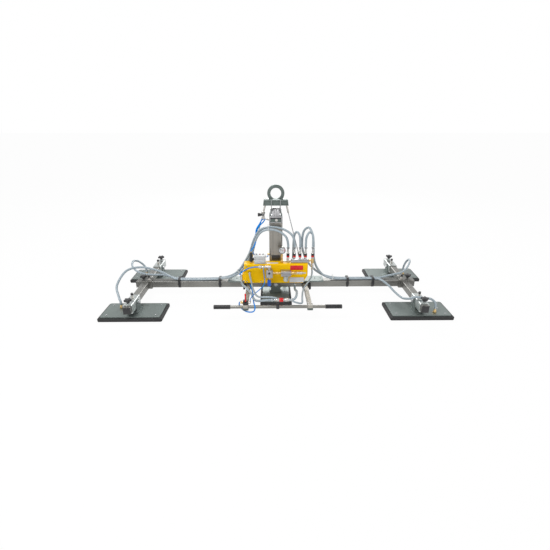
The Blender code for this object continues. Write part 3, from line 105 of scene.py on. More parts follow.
# %% Shader maths


def add_node(tree, kind, sockets=None, **settings):
    """Adds a node: its settings first, then the links and plain values of its sockets."""
    made = tree.nodes.new("ShaderNode" + kind)
    for key, value in settings.items():
        setattr(made, key, value)
    for key, value in (sockets or {}).items():
        if isinstance(value, bpy.types.NodeSocket):
            tree.links.new(value, made.inputs[key])
        elif made.inputs[key].type == "RGBA":
            made.inputs[key].default_value = (*value, 1.0)
        else:
            made.inputs[key].default_value = value
    return made


class Value:
    """A shader value: arithmetic with it adds Math nodes."""

    def __init__(self, owner, socket):
        self.owner, self.socket = owner, socket

    def maths(self, operation, *inputs, clamp=False):
        return self.owner.node("Math", dict(enumerate(inputs)), operation=operation, use_clamp=clamp)

    def __add__(self, other):
        return self.maths("ADD", self, other)

    def __sub__(self, other):
        return self.maths("SUBTRACT", self, other)

    def __rsub__(self, other):
        return self.maths("SUBTRACT", other, self)

    def __mul__(self, other):
        return self.maths("MULTIPLY", self, other)

    def clamped(self):
        return self.maths("ADD", self, 0.0, clamp=True)

    def over(self, low, high):
        """0 below low, 1 above high, and smooth between them."""
        return self.owner.node("MapRange", {0: self, 1: low, 2: high},
                               interpolation_type="SMOOTHSTEP")


class Finish:
    """A material with its Principled shader, and a method that adds nodes to it."""

    def __init__(self, name, colour, roughness, metallic=0.0, **uniform):
        self.material = bpy.data.materials.new(name)
        self.material.use_nodes = True
        self.tree = self.material.node_tree
        self.shader = self.tree.nodes["Principled BSDF"]
        self.shader.inputs["Base Color"].default_value = (*colour, 1.0)
        self.shader.inputs["Roughness"].default_value = roughness
        self.shader.inputs["Metallic"].default_value = metallic
        for name, value in uniform.items():
            self.shader.inputs[name.replace("_", " ").title().replace("Ior", "IOR")].default_value = value

    def node(self, kind, sockets=None, out=0, **settings):
        plain = {k: v.socket if isinstance(v, Value) else v for k, v in (sockets or {}).items()}
        return Value(self, add_node(self.tree, kind, plain, **settings).outputs[out])

    def place(self, scale=(1.0, 1.0, 1.0)):
        """Object coordinates, stretched by a scale along each axis."""
        where = self.node("TexCoord", out="Object")
        return self.node("Mapping", {"Vector": where, "Scale": scale})

    def noise(self, where, scale, detail=3.0, roughness=0.55):
        return self.node("TexNoise", {"Vector": where, "Scale": scale, "Detail": detail,
                                      "Roughness": roughness})

    def mix(self, share, first, second):
        """A colour between two colours."""
        return self.node("Mix", {0: share, 6: first, 7: second}, out=2, data_type="RGBA")

    def feed(self, **sockets):
        for name, value in sockets.items():
            self.tree.links.new(value.socket, self.shader.inputs[name.replace("_", " ").title()])
        return self


print("shader maths ready")

# %% [markdown]
# A photograph on white has no horizon, so the floor and the sky are mixed with plain white for rays
# from the camera or a mirror. For all other light they stay a pale ground and a soft dome. Three
# round lamps give the shapes their light side, their dark side and their bright edges.

# %% Floor, sky and lamps


def white_to_the_eye(tree, lit, white, output, share):
    """Mixes what gives light with plain white for the rays from the camera or a mirror."""
    path = add_node(tree, "LightPath").outputs
    seen = path["Is Camera Ray"]
    for ray in ("Is Glossy Ray", "Is Transmission Ray"):
        seen = add_node(tree, "Math", {0: seen, 1: path[ray]}, operation="MAXIMUM").outputs[0]
    seen = add_node(tree, "Math", {0: seen, 1: share}, operation="MULTIPLY").outputs[0]
    mix = add_node(tree, "MixShader", {0: seen, 1: lit.outputs[0], 2: white.outputs[0]})
    tree.links.new(mix.outputs[0], tree.nodes[output].inputs[0])


WHITE_LIGHT, SKY_LIGHT, FLOOR_GLOW = (1.0, 1.0, 1.0), 0.55, 0.96
world = bpy.data.worlds.new("studio")
bpy.context.scene.world = world
world.use_nodes = True
tree = world.node_tree
sky = tree.nodes["Background"]
sky.inputs["Color"].default_value = (*WHITE_LIGHT, 1.0)
sky.inputs["Strength"].default_value = SKY_LIGHT
white_to_the_eye(tree, sky, add_node(tree, "Background", {"Color": WHITE_LIGHT}), "World Output", 1.0)

floor_finish = Finish("studio_floor", (0.92, 0.92, 0.92), 0.9)
tree = floor_finish.tree
white_to_the_eye(tree, floor_finish.shader, add_node(tree, "Emission", {"Color": WHITE_LIGHT}),
                 "Material Output", FLOOR_GLOW)
floor_mesh = bmesh.new()
bmesh.ops.create_grid(floor_mesh, x_segments=1, y_segments=1, size=30.0)
floor_data = bpy.data.meshes.new("floor")
floor_mesh.to_mesh(floor_data)
floor_mesh.free()
floor_data.materials.append(floor_finish.material)
floor = put("floor", floor_data)
floor.location.z = -0.002
floor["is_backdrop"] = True


LAMP_TARGET = Vector((0, 0, 0.3))


def lamp(name, place, size, power):
    """A round area lamp that points at the lifter's middle."""
    light = bpy.data.lights.new(name, "AREA")
    light.energy, light.shape, light.size = power, "DISK", size
    obj = put(name, light)
    obj.location = place
    obj.rotation_euler = (LAMP_TARGET - Vector(place)).to_track_quat("-Z", "Y").to_euler()


lamp("key", (-1.6, -2.0, 3.8), 1.6, 88)
lamp("fill", (2.8, -1.4, 2.2), 2.4, 14)
lamp("back", (0.2, 3.6, 2.3), 2.4, 80)
print("floor, sky and three lamps")

# %% [markdown]
# ## The finishes
# Most of the lifter is zinc-plated steel and aluminium. Real plating isn't one flat grey: it has
# cloudy patches, fine grain from rolling or brushing, and edges that are rounder than the faces. One
# function makes these from noise in Object coordinates, and a Bevel node rounds the edges that a
# solid has sharp. Where asked, the edges are also painted lighter: partly wear, partly a painted
# highlight. The numbers are each finish's own.

# %% Finishes of metal, paint and plastic


def surface(name, colour, roughness, metallic=0.0, clouds=8.0, share=0.16, grain=260.0,
            depth=0.1, stretch=(1.0, 1.0, 1.0), round_edge=0.0, edge_wear_and_highlight=0.0, **uniform):
    """A finish with cloudy colour, fine grain and, if asked, rounded edges painted lighter, partly for wear
    and partly as a painted highlight.
    """
    made = Finish(name, colour, roughness, metallic, **uniform)
    where = made.place()
    cloud = made.noise(where, clouds, 4.0).over(0.32, 0.68)
    fine = made.noise(made.place(stretch), grain, 2.0)
    dark = tuple(c * (1 - share) for c in colour)
    light = tuple(min(1.0, c * (1 + share)) for c in colour)
    tone = made.mix((cloud * 0.75 + fine * 0.25).clamped(), dark, light)
    bump = {"Strength": depth, "Distance": 0.001, "Height": fine}
    if round_edge:
        soft = made.node("Bevel", {"Radius": round_edge}, samples=4)
        bump["Normal"] = soft
        if edge_wear_and_highlight:
            # Edges are painted lighter: partly wear, partly a painted highlight where light catches the
            # rounded edge.
            flat = made.node("NewGeometry", out="Normal")
            turn = made.node("VectorMath", {0: soft, 1: flat}, out="Value", operation="DOT_PRODUCT")
            edge = ((1 - turn) * 3.0).clamped() * edge_wear_and_highlight
            tone = made.mix(edge, tone, tuple(min(1.0, c * 1.35 + 0.06) for c in colour))
    made.feed(base_color=tone, roughness=(fine * 0.14 + cloud * 0.08 + (roughness - 0.11)).clamped(),
              normal=made.node("Bump", bump))
    return made


ZINC = surface("zinc_plate", (0.19, 0.222, 0.213), 0.46, 0.6, clouds=4.0, share=0.07,
               round_edge=0.0012, edge_wear_and_highlight=0.7)
ZINC_LIGHT = surface("zinc_bright", (0.5, 0.53, 0.52), 0.34, 0.8, clouds=14.0, share=0.14,
                     round_edge=0.001, edge_wear_and_highlight=0.5)
BEAM = surface("beam_plating", (0.235, 0.233, 0.218), 0.4, 0.7, clouds=5.0, share=0.16,
               grain=90.0, stretch=(0.06, 1.0, 1.0), round_edge=0.003, edge_wear_and_highlight=0.6)
ALUMINIUM = surface("aluminium", (0.42, 0.42, 0.43), 0.36, 0.85, clouds=9.0, share=0.1,
                    grain=240.0, round_edge=0.001, edge_wear_and_highlight=0.5)
BARREL = surface("barrel_anodised", (0.33, 0.315, 0.285), 0.36, 0.85, clouds=7.0, share=0.1,
                 grain=200.0, stretch=(1.0, 1.0, 0.04), round_edge=0.0012, edge_wear_and_highlight=0.4)
YELLOW = surface("yellow_powder_coat", (1.0, 0.58, 0.001), 0.4, 0.0, clouds=5.0, share=0.05,
                 grain=330.0, depth=0.22, round_edge=0.002, edge_wear_and_highlight=0.06, specular_ior_level=0.12)
WHITE = surface("white_moulding", (0.58, 0.59, 0.59), 0.42, clouds=20.0, share=0.04, grain=700.0,
                depth=0.08, round_edge=0.0008)
BLACK = surface("black_moulding", (0.022, 0.022, 0.024), 0.42, clouds=30.0, share=0.25, grain=600.0,
                depth=0.16)
RUBBER = surface("seal_rubber", (0.02, 0.02, 0.021), 0.7, clouds=24.0, share=0.35, grain=420.0,
                 depth=0.3)
RED = surface("red_anodised", (0.7, 0.012, 0.014), 0.32, 0.25, clouds=30.0, share=0.12, grain=500.0,
              depth=0.06)
BRASS = surface("brass", (0.66, 0.47, 0.21), 0.28, 1.0, clouds=50.0, share=0.16, grain=700.0,
                depth=0.06)
NICKEL = surface("nickel", (0.56, 0.54, 0.51), 0.24, 1.0, clouds=60.0, share=0.12, grain=700.0,
                 depth=0.05)
STEEL = surface("bright_steel", (0.5, 0.51, 0.52), 0.24, 1.0, clouds=40.0, share=0.1, grain=500.0,
                depth=0.05)
CHROME = surface("rod_chrome", (0.7, 0.71, 0.72), 0.1, 1.0, clouds=10.0, share=0.04, grain=900.0,
                 depth=0.02)
BLUE_TUBE = surface("blue_tube", (0.003, 0.235, 0.7), 0.36, clouds=30.0, share=0.1, grain=400.0,
                    depth=0.04, specular_ior_level=0.2)
BLUE = surface("blue_sinter", (0.02, 0.14, 0.72), 0.55, clouds=60.0, share=0.15, grain=900.0,
               depth=0.4)
PLATE_RED = surface("red_enamel", (0.72, 0.012, 0.018), 0.3, clouds=20.0, share=0.05, grain=300.0,
                    depth=0.04)
SATIN = surface("satin_bar", (0.25, 0.245, 0.225), 0.3, 0.9, clouds=12.0, share=0.1, grain=300.0,
                stretch=(0.05, 1.0, 1.0), depth=0.08)
# A darker copy of the zinc. On the hanger's webs, foot strip and end plates under its top plate, and in the
# cylinder head's recess, the darkness is painted shade.
DARK_ZINC_AND_SHADE = surface("zinc_dark_and_painted_shade", (0.135, 0.165, 0.155), 0.44, 0.6, clouds=7.0, share=0.22,
                    round_edge=0.001, edge_wear_and_highlight=0.8)
# A lighter copy of the zinc for the hanger's side plates: painted light.
ZINC_PAINTED_LIGHT = surface("zinc_painted_light", (0.3, 0.315, 0.318), 0.4, 0.4, clouds=12.0, share=0.06,
                    round_edge=0.001, edge_wear_and_highlight=0.3)
ARM = surface("arm_plating", (0.4, 0.38, 0.335), 0.46, 0.3, clouds=3.0, share=0.04,
              round_edge=0.0015, edge_wear_and_highlight=0.4)
PALE = surface("pale_film", (0.74, 0.75, 0.78), 0.35, clouds=20.0, share=0.04, grain=300.0,
               depth=0.03)
TIE = surface("natural_nylon", (0.74, 0.76, 0.74), 0.45, clouds=60.0, share=0.08, grain=500.0,
              depth=0.05)
print(len(bpy.data.materials), "materials so far")

# %% [markdown]
# A clear hose has a braid under its skin. It follows the hose, not the room, so each swept piece
# carries an attribute: the cosine and sine of the angle round it, and the distance along it. Sine
# waves of both make the braid, with no seam.

# %% The finish that follows a sweep


def braided(name, colour, dark, roughness, turns, pitch, depth):
    """A finish of crossed strands that wind round a swept piece."""
    made = Finish(name, colour, roughness)
    lay = made.node("Attribute", out="Vector", attribute_name="lay")
    split = add_node(made.tree, "SeparateXYZ", {0: lay.socket})
    cosine, sine, along = (Value(made, s) for s in split.outputs)
    angle = sine.maths("ARCTAN2", sine, cosine) * float(turns)
    wave = along * (2 * math.pi / pitch)
    strands = sine.maths("MAXIMUM", sine.maths("SINE", angle + wave), sine.maths("SINE", angle - wave))
    raised = strands.over(0.35, 1.0)
    cloud = made.noise(made.place(), 22.0).over(0.3, 0.7)
    tone = made.mix((raised * 0.8 + cloud * 0.2).clamped(), dark, colour)
    bump = made.node("Bump", {"Strength": 0.6, "Distance": depth, "Height": raised})
    return made.feed(base_color=tone, normal=bump)


HOSE = braided("braided_hose", (0.47, 0.545, 0.59), (0.235, 0.29, 0.33), 0.26, 8, 0.011, 0.0003)
print("braid finish")

# %% [markdown]
# ## Tools for new pieces
# Each new piece starts as a bmesh. These few tools add a bar, a block, a turned shape or a flat
# slab to it with bmesh operators, and bevel its edges. Small fittings can then be put together the
# way a fitter would: nut, collar, tail and clamp on one axis.

# %% Tools for new pieces
UP, ACROSS, AHEAD = (0, 0, 1), (1, 0, 0), (0, -1, 0)


def along_to(start, along):
    """The matrix that puts +Z along a direction, at a start point."""
    turn = Vector(UP).rotation_difference(Vector(along)).to_matrix().to_4x4()
    return Matrix.Translation(start) @ turn


def raise_faces(bm, faces, rise, keep=True):
    """Extrudes flat faces by a distance."""
    made = bmesh.ops.extrude_face_region(bm, geom=faces, use_keep_orig=keep)["geom"]
    bmesh.ops.translate(bm, verts=[v for v in made if isinstance(v, bmesh.types.BMVert)], vec=rise)


def as_object(bm, name, finishes, smooth=38):
    """Turns a bmesh into an object, smooth where its faces meet at less than an angle."""
    bmesh.ops.recalc_face_normals(bm, faces=bm.faces)
    mesh = bpy.data.meshes.new(name)
    bm.to_mesh(mesh)
    bm.free()
    for finish in finishes:
        mesh.materials.append(finish.material)
    mesh.shade_smooth()
    mesh.set_sharp_from_angle(angle=math.radians(smooth))
    return put(name, mesh)


class Work:
    """A piece being made: each call adds a shape in the finish that is in use."""

    def __init__(self, finish):
        self.bm, self.finishes, self.index = bmesh.new(), [finish], 0

    def use(self, finish):
        if finish not in self.finishes:
            self.finishes.append(finish)
        self.index = self.finishes.index(finish)
        return self

    def settle(self, before, bevel, segments=2, sharp=35):
        """Bevels the sharp edges of the new faces and gives the faces their finish."""
        if bevel:
            new = [f for f in self.bm.faces if f not in before]
            edges = {e for f in new for e in f.edges
                     if len(e.link_faces) == 2 and e.calc_face_angle() > math.radians(sharp)}
            bmesh.ops.bevel(self.bm, geom=list(edges), offset=bevel, offset_type="OFFSET",
                            segments=segments, profile=0.5, affect="EDGES", material=-1,
                            clamp_overlap=True)
        for face in self.bm.faces:
            if face not in before:
                face.material_index = self.index
        return self

    def bar(self, start, end, radius, end_radius=None, sides=24, bevel=0.0):
        start, end = Vector(start), Vector(end)
        before = set(self.bm.faces)
        place = along_to((start + end) / 2, end - start)
        bmesh.ops.create_cone(self.bm, cap_ends=True, segments=sides, radius1=radius,
                              radius2=radius if end_radius is None else end_radius,
                              depth=(end - start).length, matrix=place)
        return self.settle(before, bevel)

    def nut(self, start, end, radius, bevel=0.0007):
        return self.bar(start, end, radius, sides=6, bevel=bevel)

    def stack(self, start, along, parts, bevel=0.0006):
        """Sections on one axis: (near, far, radius, sides) for each."""
        start, along = Vector(start), Vector(along)
        for near, far, radius, sides in parts:
            self.bar(start + along * near, start + along * far, radius, sides=sides, bevel=bevel)
        return self

    def block(self, x, y, z, bevel=0.001, segments=2):
        before = set(self.bm.faces)
        size = Matrix.Diagonal((abs(x[1] - x[0]), abs(y[1] - y[0]), abs(z[1] - z[0]), 1.0))
        place = Matrix.Translation((sum(x) / 2, sum(y) / 2, sum(z) / 2))
        bmesh.ops.create_cube(self.bm, size=1.0, matrix=place @ size)
        return self.settle(before, bevel, segments)

    def lathe(self, profile, start, along, steps=32, closed=False):
        """A turned shape from (radius, distance) pairs; a closed profile makes a ring."""
        before = set(self.bm.faces)
        place = along_to(start, along)
        verts = [self.bm.verts.new(place @ Vector((r, 0, h))) for r, h in profile]
        pairs = list(zip(verts, verts[1:])) + ([(verts[-1], verts[0])] if closed else [])
        edges = [self.bm.edges.new(pair) for pair in pairs]
        bmesh.ops.spin(self.bm, geom=verts + edges, cent=place.translation,
                       axis=place.to_3x3() @ Vector(UP), dvec=(0, 0, 0), angle=2 * math.pi,
                       steps=steps, use_merge=True, use_duplicate=False)
        return self.settle(before, 0.0)

    def hoop(self, start, along, inner, outer, wide, bevel=0.0004, steps=32):
        """A flat ring such as a washer or a clamp band, with its edges broken."""
        b = bevel
        profile = [(inner, b), (inner + b, 0), (outer - b, 0), (outer, b), (outer, wide - b),
                   (outer - b, wide), (inner + b, wide), (inner, wide - b)]
        return self.lathe(profile, start, along, steps, closed=True)

    def slab(self, outline, place, thick, bevel=0.0):
        """A flat shape: an outline in a plane, raised by its thickness."""
        before = set(self.bm.faces)
        verts = [self.bm.verts.new(place @ Vector((u, v, 0))) for u, v in outline]
        face = bmesh.ops.contextual_create(self.bm, geom=verts)["faces"][0]
        raise_faces(self.bm, [face], place.to_3x3() @ Vector((0, 0, thick)), False)
        if face.is_valid and len(face.verts[0].link_faces) < 3:
            bmesh.ops.contextual_create(self.bm, geom=list(face.verts))
        return self.settle(before, bevel)

    def done(self, name, body, replaces=()):
        bmesh.ops.remove_doubles(self.bm, verts=self.bm.verts, dist=1e-6)
        obj = as_object(self.bm, name, self.finishes)
        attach(obj, body)
        if replaces:
            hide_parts(*replaces)
        return obj


print("bar, nut, stack, block, lathe, hoop and slab")

# %% [markdown]
# ## The solids that stay
# Beams, sleeves, plates, brackets, barrel and tank are right as they are. They only get their
# finishes, by assigning to the material slots of their objects.

# %% Finishes of the solids that stay
WORDS = ("left", "right")
ENDS = [(end, place, side, word) for side, word in zip((-1, 1), WORDS)
        for end, place in ((-1, "front"), (1, "rear"))]
STAYS = {"main_beam": BEAM, "carrier": ZINC, "cylinder_barrel": BARREL, "piston_rod": CHROME, "tank": YELLOW,
         "pad_centre": ZINC}
for word in WORDS:
    STAYS[f"cross_beam_{word}"] = BEAM
    STAYS[f"handle_arm_{word}"] = ARM
for _, place, _, word in ENDS:
    STAYS[f"pad_{place}_{word}"] = ZINC
    STAYS[f"pad_sleeve_{place}_{word}"] = ZINC_LIGHT
for name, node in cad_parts.items():
    chosen = STAYS.get(name, BLACK)
    for slot in node.material_slots:
        slot.material = chosen.material
print(len(STAYS), "solids keep their shape")

# %% [markdown]
# ## The suction seals
# Each pad's seal is a wide rubber ring with rounded rims and a thin lip that spreads on the load.
# Two rounded rectangles are bridged to a flat ring, and the ring is raised and its edges bevelled,
# so every band has the same corners as its plate.

# %% Seals
SEAL_HIGH, SEAL_BAND, SEAL_CORNER = 0.0215, 0.035, 0.011


def rounded_loop(bm, x, y, z, radius, steps=6):
    """The edges of a rectangle with round corners, at one height."""
    made = bmesh.ops.create_grid(bm, x_segments=1, y_segments=1, size=0.5)["verts"]
    bmesh.ops.scale(bm, verts=made, vec=(x[1] - x[0], y[1] - y[0], 1))
    bmesh.ops.translate(bm, verts=made, vec=(sum(x) / 2, sum(y) / 2, z))
    bmesh.ops.bevel(bm, geom=made, offset=radius, offset_type="OFFSET", segments=steps,
                    profile=0.5, affect="VERTICES", material=-1)
    face = next(f for f in bm.faces if f.is_valid and len(f.verts) >= 4 * steps
                and abs(f.calc_center_median().z - z) < 1e-6)
    edges = list(face.edges)
    bmesh.ops.delete(bm, geom=[face], context="FACES_ONLY")
    return edges


def ring_of(work, x, y, z, band, radius, inner_radius, bevel):
    """A rounded rectangular ring between two heights."""
    before = set(work.bm.faces)
    outer = rounded_loop(work.bm, x, y, z[0], radius)
    inner = rounded_loop(work.bm, (x[0] + band, x[1] - band), (y[0] + band, y[1] - band), z[0],
                         inner_radius)
    flat = bmesh.ops.bridge_loops(work.bm, edges=outer + inner)["faces"]
    raise_faces(work.bm, flat, (0, 0, z[1] - z[0]))
    return work.settle(before, bevel, 3, 60)


def seal(label, body):
    """A pad's seal: the wide ring and the thin lip under its rim."""
    low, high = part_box(f"pad_seal_{label}")
    x, y = (low.x, high.x), (low.y, high.y)
    work = Work(RUBBER)
    ring_of(work, x, y, (0.005, SEAL_HIGH), SEAL_BAND, SEAL_CORNER, 0.012, 0.003)
    lip = 0.0006
    ring_of(work, (x[0] + lip, x[1] - lip), (y[0] + lip, y[1] - lip), (0.0002, 0.0056),
            0.016, SEAL_CORNER - lip, 0.006, 0.0015)
    work.done(f"seal_{label}", body, [f"pad_seal_{label}"])


for _, place, _, word in ENDS:
    seal(f"{place}_{word}", f"pad_{place}_{word}")
seal("centre", "pad_centre")
print("five seals, lips", SEAL_BAND, "m wide")

# %% [markdown]
# ## Star knobs
# The clamping knobs are five-lobed black mouldings on a steel stem. The lobes come from one circle
# whose points are drawn in between the lobes. It is raised to a disc with soft edges, and a hub, a
# collar and a stem are added on the same axis.

# %% Star knobs
KNOB_R, KNOB_WAVE, KNOB_THICK = 0.0262, 0.0042, 0.014


def star_knob(name, seat, direction, stem, body):
    """A five-lobed knob on a stem of a given length, seated on its clamp."""
    work = Work(BLACK)
    place = along_to(seat, direction)
    low = stem + 0.012
    outline = []
    for i in range(60):
        angle = 2 * math.pi * i / 60
        radius = KNOB_R - KNOB_WAVE + KNOB_WAVE * math.cos(5 * angle)
        outline.append((radius * math.cos(angle), radius * math.sin(angle)))
    work.slab(outline, place @ Matrix.Translation((0, 0, low)), KNOB_THICK, 0.0028)
    up = place.to_3x3() @ Vector(UP)
    seat = Vector(seat)
    top = low + KNOB_THICK
    work.lathe([(0, top - 0.002), (0.0128, top - 0.002), (0.012, top + 0.0004),
                (0.006, top + 0.0011), (0, top + 0.0012)], seat, up, 28)
    work.lathe([(0, stem + 0.0002), (0.0105, stem + 0.0002), (0.0108, stem + 0.004),
                (0.0128, low + 0.001), (0, low + 0.001)], seat, up, 28)
    work.use(STEEL).bar(seat + up * 0.0001, seat + up * (stem + 0.002), 0.0049, sides=20)
    work.done(f"star_{name}", body, [name])


for side, word in zip((-1, 1), WORDS):
    low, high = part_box(f"cross_knob_{word}")
    star_knob(f"cross_knob_{word}", ((low.x + high.x) / 2, 0, low.z), UP, 0.012,
              f"cross_knob_{word}")
    low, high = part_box(f"handle_knob_{word}")
    start = low.x if side > 0 else high.x
    star_knob(f"handle_knob_{word}", (start, (low.y + high.y) / 2, (low.z + high.z) / 2),
              (side, 0, 0), 0.0377, f"handle_knob_{word}")
for _, place, _, word in ENDS:
    name = f"pad_knob_{place}_{word}"
    low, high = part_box(name)
    star_knob(name, ((low.x + high.x) / 2, (low.y + high.y) / 2, low.z), UP, 0.016, name)
print("eight star knobs")

# %% [markdown]
# ## Hoses
# A hose is one smooth curve through given points, swept with a small circle. It is cut into
# lengths where a strap or a joint comes: a length on the beam rides the beam, and a length that
# crosses a joint is left fixed where it is, on no body.

# %% Sweeping along a route


def smooth_route(points, step):
    """A dense Catmull-Rom curve, and the place of each given point in it."""
    points = [Vector(p) for p in points]
    ends = [2 * points[0] - points[1]] + points + [2 * points[-1] - points[-2]]
    route, places = [], []
    for a, b, c, d in zip(ends, ends[1:], ends[2:], ends[3:]):
        steps = max(1, round((c - b).length / step))
        places.append(len(route))
        for i in range(steps):
            t = i / steps
            route.append(0.5 * (2 * b + (c - a) * t + (2 * a - 5 * b + 4 * c - d) * t ** 2
                                + (3 * b - a - 3 * c + d) * t ** 3))
    return route + [points[-1]], places + [len(route)]


def frames_along(route):
    """A turned place at each point of a route, without twist, and the distance to it."""
    normal, places, lengths, gone = None, [], [], 0.0
    for i, point in enumerate(route):
        ahead = (route[min(i + 1, len(route) - 1)] - route[max(i - 1, 0)]).normalized()
        if normal is None:
            normal = ahead.orthogonal().normalized()
        normal = (normal - ahead * normal.dot(ahead)).normalized()
        side = ahead.cross(normal)
        turn = Matrix((normal, side, ahead)).transposed().to_4x4()
        places.append(Matrix.Translation(point) @ turn)
        if i:
            gone += (point - route[i - 1]).length
        lengths.append(gone)
    return places, lengths


def sweep(name, places, lengths, radius, finish, sides=14):
    """A round tube along places, with the attribute that its pattern follows."""
    bm = bmesh.new()
    lay = bm.verts.layers.float_vector.new("lay")
    ring = bmesh.ops.create_circle(bm, cap_ends=True, segments=sides, radius=radius,
                                   matrix=places[0])["verts"]
    edges = list({e for v in ring for e in v.link_edges})
    for vert in ring:
        local = places[0].inverted() @ vert.co
        vert[lay] = (local.x / radius, local.y / radius, lengths[0])
    for i in range(1, len(places)):
        made = bmesh.ops.extrude_edge_only(bm, edges=edges)["geom"]
        ring = [v for v in made if isinstance(v, bmesh.types.BMVert)]
        edges = [e for e in made if isinstance(e, bmesh.types.BMEdge)]
        bmesh.ops.transform(bm, matrix=places[i] @ places[i - 1].inverted(), verts=ring)
        back = places[i].inverted()
        for vert in ring:
            local = back @ vert.co
            vert[lay] = (local.x / radius, local.y / radius, lengths[i])
    bmesh.ops.contextual_create(bm, geom=edges)
    return as_object(bm, name, [finish], smooth=50)


def run(name, points, cuts, radius, finish, replaces=(), step=0.009):
    """A swept piece in lengths. cuts lists (last point, body or pair of bodies) in order."""
    route, marks = smooth_route(points, step)
    places, lengths = frames_along(route)
    first = 0
    for i, (last, hold) in enumerate(cuts):
        last = marks[last]
        label = f"{name}_{i + 1}" if len(cuts) > 1 else name
        obj = sweep(label, places[first:last + 1], lengths[first:last + 1], radius, finish)
        if isinstance(hold, str):
            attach(obj, hold)
        else:
            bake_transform(obj)
        first = last
    if replaces:
        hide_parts(*replaces)
    print(name, "is", round(lengths[-1], 3), "m long")


print("sweep ready")

# %% [markdown]
# A vacuum hose is a row of a table: the points that it passes, read from the photograph at fittings,
# straps and bends, and the points where it is cut into lengths, each with its body or two bodies.

# %% The five vacuum hoses and the two handle hoses
HOSE_R, CLAMP_R = 0.008, 0.0083
LINE_R, TUBE_R, THIN_R = 0.006, 0.0042, 0.0028
VALVE_X = (0.0864, 0.1324, 0.1726, 0.2128, 0.2635)
ROW_Y = -0.093
TAIL_TOP = 0.3962
NIPPLE_TOP = 0.0583
DECK = 0.1236
STRAP_LEFT, STRAP_RIGHT = -0.73, 0.739
NIPPLE = {"front_left": (-1.08, -0.29), "rear_left": (-1.08, 0.29),
          "front_right": (1.08, -0.377), "rear_right": (1.08, 0.29), "centre": (0.07, 0.11)}
V1, V2, V3, V4, V5 = VALVE_X


def ends_of(label):
    """The last two points of a hose, straight down into its pad's tail."""
    x, y = NIPPLE[label]
    return [(x, y, 0.08), (x, y, NIPPLE_TOP)]


